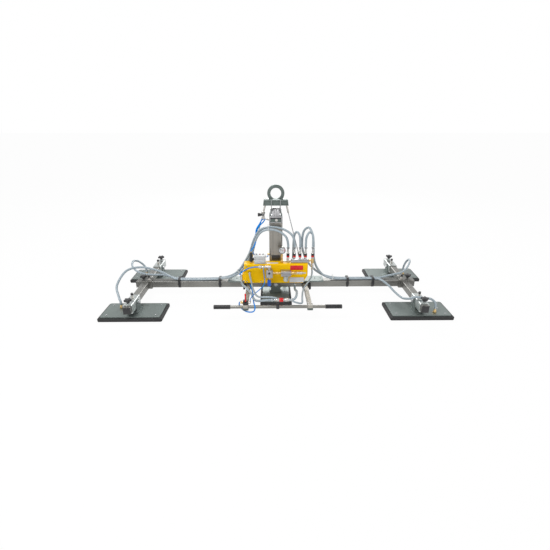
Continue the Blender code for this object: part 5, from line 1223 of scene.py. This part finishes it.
row = Work(ALUMINIUM)
y = (ROW_Y - 0.015, ROW_Y + 0.015)
row.block(BLOCK_X, y, (0.2903, 0.304), 0.0014)
row.block(inside(BLOCK_X, 0.002), inside(y, 0.002), (0.303, 0.307), 0.0)
row.block(BLOCK_X, y, (0.306, BLOCK_TOP), 0.0042, 1)
for x in (0.1525, 0.1927):
    screw_head(row.use(STEEL), (x, y[0], 0.297), AHEAD, 0.0038, 0.0012)
for x in VALVE_X:
    row.use(NICKEL).stack((x, ROW_Y, 0), UP, [(BLOCK_TOP - 0.001, NUT_TOP, 0.0107, 6),
                                              (COLLAR_Z, COLLAR_Z + 0.006, 0.0107, 6)])
    row.use(STEEL).stack((x, ROW_Y, 0), UP, [(NUT_TOP - 0.001, COLLAR_Z + 0.001, 0.006, 24),
                                             (COLLAR_Z + 0.0055, TAIL_Z, 0.0066, 24)])
    clamp(row, (x, ROW_Y, TAIL_Z + 0.0035), UP, CLAMP_R, (0.4, -1, 0))
    row.use(BLACK).block((x - 0.003, x + 0.003), (ROW_Y - HOSE_R - 0.009, ROW_Y - HOSE_R),
                         (TAIL_Z + 0.004, TAIL_Z + 0.0115), 0.0008)
row.use(NICKEL).stack((V1, ROW_Y, 0), UP, [(0.2903, 0.296, 0.0118, 6), (0.2955, 0.3145, 0.0102, 28),
                                           (0.314, 0.321, 0.0112, 6)])
row.bar((V1, ROW_Y, 0.304), (BLOCK_X[0] + 0.001, ROW_Y, 0.304), 0.0072)
row.nut((V1 + 0.0095, ROW_Y, 0.304), (V1 + 0.0155, ROW_Y, 0.304), 0.0098)
row.use(BRASS)
row.bar((BLOCK_X[1] - 0.001, ROW_Y, 0.306), (V5, ROW_Y, 0.306), 0.007)
row.nut((BLOCK_X[1], ROW_Y, 0.306), (BLOCK_X[1] + 0.008, ROW_Y, 0.306), 0.01)
row.stack((V5, ROW_Y, 0), UP, [(0.2965, 0.319, 0.01, 28), (0.286, 0.2975, 0.0106, 6),
                               (0.3145, 0.321, 0.0114, 6)])
row.use(NICKEL).stack((V5, ROW_Y, 0), UP, [(0.27, 0.2865, 0.0088, 28), (0.259, 0.2705, 0.0108, 6)])
row.use(STEEL).stack((V5, ROW_Y, 0), UP, [(0.2352, 0.26, 0.0068, 24)])
clamp(row, (V5, ROW_Y, 0.244), UP, 0.0072, (0.5, -1, 0))
row.done("valve_row", "root", ["manifold"])
BORE = 0.0063
for i, x in enumerate(VALVE_X, 1):
    foot = (x, ROW_Y, SLEEVE_LOW)
    work = Work(RED)
    work.lathe([(BORE, 0), (0.0102, 0), (0.0108, 0.0006), (0.0108, 0.0106), (0.0098, 0.0114),
                (BORE, 0.0114)], foot, UP, closed=True)
    lobed(work.use(BLACK), (x, ROW_Y, SLEEVE_LOW + 0.0112), UP, 0.0106, 0.0008, 20, 0.0168, 0.0004)
    work.use(NICKEL).lathe([(BORE, 0.0276), (0.0096, 0.0276), (0.0096, 0.0282), (0.0088, 0.0292),
                            (0.0088, 0.0352), (0.008, SLEEVE_LONG), (BORE, SLEEVE_LONG)],
                           foot, UP, closed=True)
    work.done(f"slide_valve_sleeve_{i}", f"valve_sleeve_{i}", [f"valve_sleeve_{i}"])
print("five valves on", round(BLOCK_X[1] - BLOCK_X[0], 4), "m of manifold")

# %% [markdown]
# ## The vacuum gauge
# A steel bezel round a white dial. The ticks and the red band of the dial are thin raised pieces,
# and a clear lens lies in front of the pointer, which turns on its own joint.

# %% Gauge
LENS = surface("gauge_lens", (0.92, 0.95, 0.96), 0.05, clouds=20.0, share=0.02, grain=300.0, depth=0.02,
               alpha=0.1)
GX, GZ, G_FRONT, G_DIAL, STEM_Y = 0.043, 0.3885, -0.115, -0.107, -0.097
MARK_Y, MARK_THICK = G_DIAL - 0.0006, 0.0002


def on_dial(degrees, points):
    """Points drawn along the first axis, turned about the middle of the dial."""
    c, s = math.cos(math.radians(degrees)), math.sin(math.radians(degrees))
    return [(GX + c * u - s * v, GZ + s * u + c * v) for u, v in points]


CASE_DEEP, STEM_FOOT = 0.028, TANK_TOP + 0.012
case = Work(SATIN)
case.lathe([(0, CASE_DEEP), (0.0215, CASE_DEEP), (0.0245, CASE_DEEP - 0.002), (0.0245, 0.006),
            (0.0258, 0.0048), (0.026, 0.002), (0.0248, 0.0002), (0.0236, 0.0), (0.0228, 0.0012),
            (0.0228, 0.008), (0, 0.008)],
           (GX, G_FRONT, GZ), (0, 1, 0), 48)
case.use(PALE).lathe([(0, 0), (0.0226, 0), (0.0226, 0.0006), (0, 0.0006)], (GX, G_DIAL, GZ), AHEAD, 48)
for i in range(19):
    inner, outer, half = (0.0168, 0.0196, 0.0003) if i % 3 else (0.015, 0.0196, 0.0005)
    corners = [(inner, -half), (outer, -half), (outer, half), (inner, half)]
    case.use(BLACK).slab(on_dial(225 - 15 * i, corners), facing(XZ, MARK_Y), MARK_THICK)
band = arc(GX, GZ, 0.0211, -40, 40, 16) + arc(GX, GZ, 0.0207, 40, -40, 16)
case.use(RED).slab(band, facing(XZ, MARK_Y), MARK_THICK)
case.use(BRASS).nut((GX, STEM_Y, TANK_TOP + 0.0003), (GX, STEM_Y, TANK_TOP + 0.024), 0.0108)
case.bar((GX, STEM_Y, TANK_TOP + 0.0235), (GX, STEM_Y, 0.342), 0.0062, bevel=0.0005)
case.nut((GX, STEM_Y, 0.34), (GX, STEM_Y, 0.356), 0.0088)
case.bar((GX, STEM_Y, 0.3555), (GX, STEM_Y, 0.3655), 0.006)
case.use(NICKEL).bar((GX + 0.005, STEM_Y, STEM_FOOT), (V1 - 0.0095, STEM_Y, STEM_FOOT), 0.0052)
case.nut((GX + 0.012, STEM_Y, STEM_FOOT), (GX + 0.02, STEM_Y, STEM_FOOT), 0.008)
case.done("vacuum_gauge", "root", ["gauge_case"])
needle = Work(BLACK)
shape = [(0.018, 0.0), (0.002, 0.0019), (-0.006, 0.0024), (-0.0095, 0.002), (-0.0095, -0.002),
         (-0.006, -0.0024), (0.002, -0.0019)]
needle.slab(on_dial(150, shape), facing(XZ, -0.1085), 0.0006)
needle.use(BRASS).lathe([(0, -0.0003), (0.0032, -0.0003), (0.0034, 0.002), (0.0022, 0.003), (0, 0.0031)],
                        (GX, -0.1073, GZ), AHEAD, 24)
needle.done("gauge_needle", "gauge_pointer", ["gauge_pointer"])
lens = Work(LENS)
lens.lathe([(0, 0), (0.023, 0), (0.023, 0.0009), (0, 0.0009)], (GX, -0.1128, GZ), AHEAD, 48)
lens.done("gauge_lens", "root")
print("gauge dial with 19 ticks")

# %% [markdown]
# ## The air unit
# The compressed air comes in by a tee, goes through the ejector block with its blue silencer, and
# the vacuum line runs right through a filter with a metal bowl. All are stock fittings, so each is a
# short stack of nuts and turned sections on one axis.

# %% Air unit
AY, AZ, TEE_Z = -0.16, 0.236, 0.283
AIR_FRONT, FILTER_FRONT, AIR_BACK = -0.182, -0.178, -0.1303
AIR_AXIS = (0, AY, AZ), ACROSS
air = Work(ALUMINIUM)
air.block((-0.0713, -0.0246), (AIR_FRONT, AIR_BACK), (0.2054, 0.2599), 0.0022)
air.block((-0.069, -0.027), (-0.1832, -0.1815), (0.228, 0.2296), 0.0003)
for x in (-0.0655, -0.0304):
    for z in (0.2112, 0.2541):
        screw_head(air.use(STEEL), (x, AIR_FRONT, z), AHEAD, 0.0034, 0.0016)
air.use(BLACK).lathe([(0, 0), (0.0075, 0), (0.0072, 0.003), (0, 0.0034)], (-0.048, AIR_FRONT, 0.243),
                     AHEAD, 28)
air.use(BRASS).stack(*AIR_AXIS, [
    (-0.025, -0.017, 0.0098, 6), (-0.0175, 0.0005, 0.0062, 24), (0.0, 0.011, 0.0096, 6),
    (0.0105, 0.0225, 0.008, 28), (0.022, 0.03, 0.0094, 6), (0.0295, 0.036, 0.0066, 24),
    (0.1065, 0.1185, 0.0124, 6), (0.118, 0.139, 0.0096, 28), (0.1385, 0.148, 0.0116, 6)], 0.0005)
air.use(NICKEL).stack(*AIR_AXIS, [
    (0.1475, 0.1605, 0.0078, 28), (0.16, 0.169, 0.0104, 6), (0.1685, 0.177, 0.009, 28),
    (0.1765, 0.188, 0.0098, 28), (0.1875, 0.201, 0.0066, 24)], 0.0005)
air.bar((0.2005, AY, AZ), (0.2138, AY, AZ), 0.0062, 0.0046, 24, 0.0005)
air.use(ALUMINIUM).block((0.0353, 0.107), (FILTER_FRONT, AIR_BACK), (0.215, 0.252), 0.004, 3)
bowl_x = 0.07115
air.use(ZINC_LIGHT).lathe([(0, 0.0045), (0.015, 0.0045), (0.0178, 0.006), (0.019, 0.009), (0.019, 0.038),
                           (0.0206, 0.039), (0.0206, 0.0455), (0, 0.0455)], (bowl_x, AY, 0.1696), UP, 36)
air.use(BRASS).lathe([(0, 0), (0.005, 0), (0.0056, 0.0012), (0.0056, 0.005), (0, 0.005)], (bowl_x, AY, 0.17),
                     UP, 24)
for x in (0.044, 0.0983):
    screw_head(air.use(STEEL), (x, FILTER_FRONT, 0.244), AHEAD, 0.0036, 0.0014)
x = -0.049
air.use(BRASS).nut((x, AY, 0.196), (x, AY, 0.2056), 0.0098)
air.bar((x, AY, 0.184), (x, AY, 0.1965), 0.0066)
air.use(BLUE).nut((x, AY, 0.176), (x, AY, 0.1845), 0.0128)
air.lathe([(0, 0.0), (0.0085, 0.0), (0.0118, 0.004), (0.0124, 0.01), (0.0124, 0.0425), (0, 0.0425)],
          (x, AY, 0.134), UP, 36)
air.use(NICKEL).bar((x, AY, 0.259), (x, AY, 0.274), 0.0078, sides=28, bevel=0.0006)
air.nut((x, AY, 0.2598), (x, AY, 0.2668), 0.0102)
air.lathe([(0, -0.012), (0.0092, -0.012), (0.0098, -0.01), (0.0098, 0.0075), (0.0086, 0.0092), (0, 0.01)],
          (x, AY, 0.28), UP)
air.stack((0, AY, TEE_Z), ACROSS, [
    (-0.125, -0.118, 0.0078, 24), (-0.1185, -0.1, 0.0116, 6), (-0.1005, -0.076, 0.0082, 28),
    (-0.0765, -0.069, 0.0106, 6), (-0.0695, -0.044, 0.0086, 28), (-0.0445, -0.0352, 0.01, 6)], 0.0005)
air.nut((-0.089, AY, TEE_Z), (-0.089, AY - 0.016, TEE_Z), 0.007)
air.use(STEEL).bar((-0.089, AY - 0.015, TEE_Z), (-0.089, AY - 0.02, 0.279), 0.0042, sides=20)
air.done("air_unit_fittings", "root", ["air_unit"])
print("air unit")

# %% [markdown]
# ## The supply valve on the left rope
# A small ball valve hangs on the rope's swaged sleeve. Its lever turns on its own joint. Two blue
# hoses leave it: one to the cylinder's head, the other down to the tank.

# %% Supply valve and its lever
lever_low, lever_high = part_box("supply_lever")
SZ, SY = 0.632, -0.034
rope_top, rope_down, _ = rope_line(-1)
seat = rope_top + rope_down * ((rope_top.z - SZ) / -rope_down.z)
SX = seat.x
supply = Work(BLACK)
supply.hoop(seat - rope_down * 0.009, rope_down, 0.0067, 0.013, 0.018, 0.0016)
supply.block((SX - 0.006, SX + 0.006), (SY, -0.008), (SZ - 0.007, SZ + 0.007), 0.0008)
supply.use(NICKEL).nut((SX, SY, SZ + 0.018), (SX, SY, SZ + 0.01), 0.01)
supply.bar((SX, SY, SZ + 0.0105), (SX, SY, SZ - 0.012), 0.0098, sides=32, bevel=0.0012)
supply.nut((SX, SY, SZ - 0.0115), (SX, SY, SZ - 0.02), 0.01)
supply.bar((SX, SY, SZ), (SX, SY - 0.0135, SZ), 0.0058, bevel=0.0006)
supply.bar((SX + 0.004, SY, SZ - 0.019), (SX + 0.0105, SY, SZ - 0.036), 0.0062, bevel=0.0006)
supply.use(STEEL).bar((SX - 0.003, SY, SZ - 0.019), (SX - 0.01, SY, SZ - 0.036), 0.0058, bevel=0.0006)
supply.done("ball_valve", "root", ["supply_valve"])
front = lever_high.y
lever = Work(BLACK)
outline = (arc(SX, SZ, 0.0088, -70, 70, 12)
           + [(SX - 0.008, SZ + 0.0058), (SX - 0.019, SZ + 0.007), (SX - 0.023, SZ + 0.013),
              (SX - 0.029, SZ + 0.015), (SX - 0.035, SZ + 0.014), (SX - 0.0368, SZ + 0.01),
              (SX - 0.0368, SZ - 0.01), (SX - 0.035, SZ - 0.013), (SX - 0.026, SZ - 0.013),
              (SX - 0.021, SZ - 0.008), (SX - 0.008, SZ - 0.0062)])
lever.slab(outline, facing(XZ, front), front - lever_low.y - 0.0008, 0.0008)
lever.use(STEEL).lathe([(0, 0), (0.0042, 0), (0.0038, 0.002), (0, 0.0024)], (SX, front - 0.0034, SZ),
                       AHEAD, 20)
lever.done("ball_valve_lever", "supply_lever", ["supply_lever"])
print("supply valve")

# %% [markdown]
# They cross no joint, so each is one length on the root body.

# %% The thin air tubes
run("air_hose_to_tee", [
    (SX + 0.01, SY, 0.597), (SX + 0.004, -0.036, 0.58), (-0.122, -0.038, 0.54), (-0.15, -0.032, 0.47),
    (-0.172, -0.014, 0.38), (-0.2, -0.002, 0.31), (-0.226, 0.004, 0.258), (-0.248, -0.01, 0.214),
    (-0.262, -0.05, 0.19), (-0.266, -0.09, 0.196), (-0.25, -0.118, 0.222), (-0.224, -0.136, 0.248),
    (-0.194, -0.15, 0.269), (-0.16, -0.159, 0.2815), (-0.125, AY, TEE_Z)],
    [(14, "root")], TUBE_R, BLUE_TUBE, step=0.006)
run("air_hose_to_check_valve", [
    (SX - 0.0098, SY, 0.597), (SX - 0.018, -0.035, 0.575), (-0.138, -0.036, 0.525), (-0.1425, -0.046, 0.49),
    (-0.1395, -0.07, 0.462), (-0.15, -0.089, 0.425), (-0.166, -0.0945, 0.398), (-0.1755, -0.0958, 0.386),
    (*CHECK, TANK_TOP + 0.087)], [(8, "root")], TUBE_R, BLUE_TUBE, step=0.006)
run("air_tube_to_head", [
    (-0.0655, PORT_Y, PORT_Z), (-0.092, -0.019, 0.59), (-0.105, -0.025, 0.579), (-0.118, -0.028, 0.558),
    (-0.133, -0.024, 0.51), (-0.148, -0.016, 0.45), (-0.162, -0.006, 0.395), (-0.168, -0.006, 0.35),
    (-0.16, -0.03, 0.33), (-0.146, -0.052, 0.33), (-0.14, -0.0672, 0.33)],
    [(10, "root")], THIN_R, BLUE_TUBE, step=0.004)

# %% [markdown]
# ## The handle
# The bar is one turned shape. Its grips are rubber sleeves with fine rings, made from a stepped
# profile. Dark clamps hold the bar in the arms' ends, and the lever valve and the slide valve sit
# on the bar within reach of the operator's thumbs.

# %% Bar, grips and clamps
HX, ARM_X, BAR_Z = 0.009, 0.213, 0.104
BAR_HALF, GRIP_LONG = 0.425, 0.11
bar = Work(SATIN)
bar.bar((HX - BAR_HALF + 0.004, BAR_Y, BAR_Z), (HX + BAR_HALF - 0.004, BAR_Y, BAR_Z), 0.011, sides=40)
for side in (-1, 1):
    profile = [(0.0108, GRIP_LONG), (0.0138, GRIP_LONG), (0.0145, GRIP_LONG - 0.001),
               (0.0145, GRIP_LONG - 0.006)]
    for i in range(24):
        at = GRIP_LONG - 0.007 - i * 0.004
        profile += [(0.0134, at), (0.0134, at - 0.0012), (0.0144, at - 0.0018), (0.0144, at - 0.0034)]
    profile += [(0.0145, 0.004), (0.0138, 0.001), (0.011, 0.0), (0, 0.0)]
    bar.use(BLACK).lathe(profile, (HX + side * BAR_HALF, BAR_Y, BAR_Z), (-side, 0, 0), 40)
bar.done("handle_tube", "handle", ["handle_bar"])
CLAMP_HALF = 0.0186
arms = Work(DARK_ZINC_AND_SHADE)
for x in (HX - ARM_X, HX + ARM_X):
    arms.block((x - CLAMP_HALF, x + CLAMP_HALF), (BAR_Y - CLAMP_HALF, BAR_Y + CLAMP_HALF),
               (BAR_Z - 0.0195, BAR_Z - 0.0015), 0.003)
for dx in (-0.0115, 0.0115):
    for dy in (-0.0125, 0.0125):
        screw_head(arms.use(STEEL), (HX + ARM_X + dx, BAR_Y + dy, BAR_Z + 0.018), UP, 0.0036, 0.0026)
arms.done("handle_clamps", "handle")
print("handle bar", 2 * BAR_HALF, "m wide")

# %% [markdown]
# ## Lever valve and slide valve
# The lever valve stands on the left clamp: a black body with a brass elbow on one side, a plated
# one on the other, and the red lever in its slot. The slide valve lies above the bar on a stalk,
# and its red sleeve slides along it.

# %% Lever valve and red lever
LX, LTOP = HX - ARM_X, 0.1223
lever_valve = Work(BLACK)
for side in (-1, 1):
    x = sorted((LX + side * 0.0058, LX + side * 0.0165))
    lever_valve.block(x, (BAR_Y - 0.014, BAR_Y + 0.014), (LTOP, LTOP + 0.03), 0.0018)
lever_valve.block((LX - 0.008, LX + 0.008), (BAR_Y - 0.0138, BAR_Y + 0.0138),
                  (LTOP + 0.0002, LTOP + 0.0178), 0.0004)
z = LTOP + 0.013
for side, finish in ((-1, BRASS), (1, NICKEL)):
    lever_valve.use(finish).nut((LX + side * 0.016, BAR_Y, z), (LX + side * 0.0225, BAR_Y, z), 0.0088)
    lever_valve.bar((LX + side * 0.022, BAR_Y, z), (LX + side * 0.033, BAR_Y, z), 0.0068, bevel=0.001)
    elbow = LX + side * 0.0285
    lever_valve.bar((elbow, BAR_Y, z - 0.002), (elbow, BAR_Y + 0.016, z + 0.002), 0.006, bevel=0.0008)
for y in (-0.0095, 0.0095):
    screw_head(lever_valve.use(STEEL), (LX - 0.0165, BAR_Y + y, LTOP + 0.0245), (-1, 0, 0),
               0.0024, 0.0008)
lever_valve.done("hand_lever_valve", "handle", ["lever_valve"])
PIVOT = LTOP + 0.025
red = Work(RED)
red.bar((LX - 0.0054, BAR_Y, PIVOT), (LX + 0.0054, BAR_Y, PIVOT), 0.0058, sides=28, bevel=0.0006)
red.lathe([(0, 0.0), (0.0044, 0.0), (0.0042, 0.015), (0.0052, 0.04), (0.0061, 0.047), (0.0058, 0.0505),
           (0.004, 0.052), (0, 0.0522)], (LX, BAR_Y, PIVOT), UP, 28)
red.use(STEEL).bar((LX - 0.0057, BAR_Y, PIVOT), (LX + 0.0057, BAR_Y, PIVOT), 0.0022, sides=16)
red.done("red_hand_lever", "red_lever", ["red_lever"])

# %% [markdown]
# The slide valve is a plain tube with nuts and collars on one axis, which is what a stack is for. Its
# sleeve has two smooth collars and a ribbed middle, and rides its own body.

# %% Slide valve and red sleeve
SLIDE_X, SLEEVE_X = (-0.0169, 0.0883), (0.018, 0.044)
slide = Work(STEEL)
SLIDE_AXIS = (0, BAR_Y, SLIDE_Z), ACROSS
slide.stack(*SLIDE_AXIS, [(SLIDE_X[0], SLIDE_X[1], 0.0074, 28)])
slide.use(NICKEL).stack(*SLIDE_AXIS, [(-0.011, -0.001, 0.0122, 6), (-0.0012, 0.0177, 0.0118, 32),
                                      (0.0563, 0.07, 0.0118, 32), (0.0698, 0.0803, 0.0122, 6)])
slide.use(BLACK).hoop((-0.0018, BAR_Y, BAR_Z), (1, 0, 0), 0.0112, 0.016, 0.02, 0.0014)
slide.block((0.0022, 0.0142), (BAR_Y - 0.0065, BAR_Y + 0.0065), (BAR_Z + 0.013, SLIDE_Z - 0.006), 0.001)
slide.use(STEEL)
clamp(slide, (SLIDE_X[0] - 0.0075, BAR_Y, SLIDE_Z), (-1, 0, 0), CLAMP_R, (0, -0.5, 1))
clamp(slide, (SLIDE_X[1] + 0.0075, BAR_Y, SLIDE_Z), (1, 0, 0), CLAMP_R, (0, -0.5, 1))
slide.done("hand_slide_valve", "handle", ["slide_valve"])
sleeve = Work(RED)
sleeve.lathe([(0.0078, 0.0), (0.0125, 0.0), (0.0134, 0.001), (0.0134, 0.005), (0.0078, 0.005)],
             (SLEEVE_X[0], BAR_Y, SLIDE_Z), (1, 0, 0), 40, closed=True)
lobed(sleeve, (SLEEVE_X[0] + 0.0048, BAR_Y, SLIDE_Z), (1, 0, 0), 0.013, 0.0008, 24, 0.0164, 0.0003)
sleeve.lathe([(0.0078, 0.021), (0.0134, 0.021), (0.0134, 0.025), (0.0125, 0.026), (0.0078, 0.026)],
             (SLEEVE_X[0], BAR_Y, SLIDE_Z), (1, 0, 0), 40, closed=True)
sleeve.done("red_slide_sleeve", "slide_sleeve", ["slide_sleeve"])
print("lever valve and slide valve")

# %% [markdown]
# Four thin lines go to the handle along its arms. Each has a fixed length on the tank's side and
# a length from there towards the handle that is left where it is, on no body.

# %% The tubes along the handle
run("signal_tube_front", [
    (-0.089, -0.179, 0.279), (-0.088, -0.184, 0.262), (-0.084, -0.186, 0.225), (-0.081, -0.19, 0.18),
    (-0.095, -0.212, 0.154), (-0.128, -0.245, 0.136), (-0.156, -0.3, 0.134), (-0.172, -0.36, 0.138),
    (-0.1755, -0.404, 0.1375)], [(4, "root"), (8, ("root", "handle"))], 0.003, BLUE_TUBE, step=0.005)
run("signal_tube_left", [
    (-0.212, -0.09, 0.133), (-0.207, -0.0915, 0.1262), (-0.194, -0.099, 0.124), (-0.178, -0.15, 0.108),
    (-0.164, -0.23, 0.104), (-0.158, -0.32, 0.11), (-0.15, -0.4, 0.118), (-0.142, -0.434, 0.108),
    (-0.15, -0.4395, 0.082), (-0.175, -0.437, 0.074), (-0.208, -0.43, 0.079), (-0.24, -0.412, 0.098),
    (-0.248, -0.404, 0.12), (-0.236, -0.404, 0.138)], [(1, "root"), (6, ("root", "handle")), (13, "handle")],
    TUBE_R, BLUE_TUBE, step=0.006)
run("conduit_left", [
    (-0.19, -0.131, 0.226), (-0.1895, -0.143, 0.225), (-0.186, -0.155, 0.208), (-0.178, -0.168, 0.176),
    (-0.17, -0.19, 0.146), (-0.156, -0.25, 0.14), (-0.138, -0.33, 0.146), (-0.11, -0.392, 0.162),
    (-0.07, -0.42, 0.176), (-0.03, -0.424, 0.176), (0.003, -0.42, 0.166)],
    [(3, "root"), (7, ("root", "handle")), (10, "handle")], LINE_R, HOSE, step=0.006)
run("return_hose_right", [
    (V5, ROW_Y, 0.235), (V5 + 0.001, -0.093, 0.21), (0.26, -0.096, 0.18), (0.244, -0.106, 0.15),
    (0.22, -0.135, 0.132), (0.198, -0.19, 0.126), (0.184, -0.26, 0.126), (0.176, -0.34, 0.124),
    (0.172, -0.39, 0.12), (0.156, -0.415, 0.126), (0.12, -0.424, 0.14), (0.1, -0.422, 0.15),
    (0.09, -0.42, 0.156)],
    [(2, "root"), (8, ("root", "handle")), (12, "handle")], LINE_R, HOSE, step=0.007)
link = Work(NICKEL)
link.nut((-0.19, -0.1303, 0.227), (-0.19, -0.1385, 0.226), 0.01)
link.bar((-0.19, -0.138, 0.2262), (-0.1898, -0.144, 0.224), 0.0072, bevel=0.0006)
link.use(STEEL).bar((-0.212, -0.09, 0.1432), (-0.212, -0.09, 0.1325), 0.0062, bevel=0.0006)
link.done("tank_tube_fittings", "root")

# %% [markdown]
# White cable ties hold the bundles together. A tie is a thin hoop with a short square end that
# sticks out where it was cut off.

# %% Cable ties


def tie(name, body, place, along, radius):
    """A cable tie round a bundle, with its cut end."""
    work = Work(TIE)
    place, along = Vector(place), Vector(along).normalized()
    work.hoop(place - along * 0.002, along, radius, radius + 0.0013, 0.004, 0.0004, 28)
    side = along.orthogonal().normalized()
    work.bar(place + side * radius, place + side * (radius + 0.011), 0.0022, sides=4)
    work.done(name, body)


tie("tie_hoses", "root", (-0.053, -0.088, 0.5442), (1, 0, 0.1), 0.0205)
tie("tie_left", "root", (-0.274, -0.016, 0.191), (-0.6, 0.1, -0.7), 0.019)
tie("tie_right", "root", (0.43, -0.011, 0.133), (1, 0.1, -0.18), 0.0185)
print("tubes and ties")

# %% [markdown]
# ## The box of the finished look
# The last cell prints the box of the finished look, and closes the script.

# %% Sizes and the end
low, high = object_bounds()
print("finished look reaches from", [round(v, 4) for v in low], "to", [round(v, 4) for v in high])
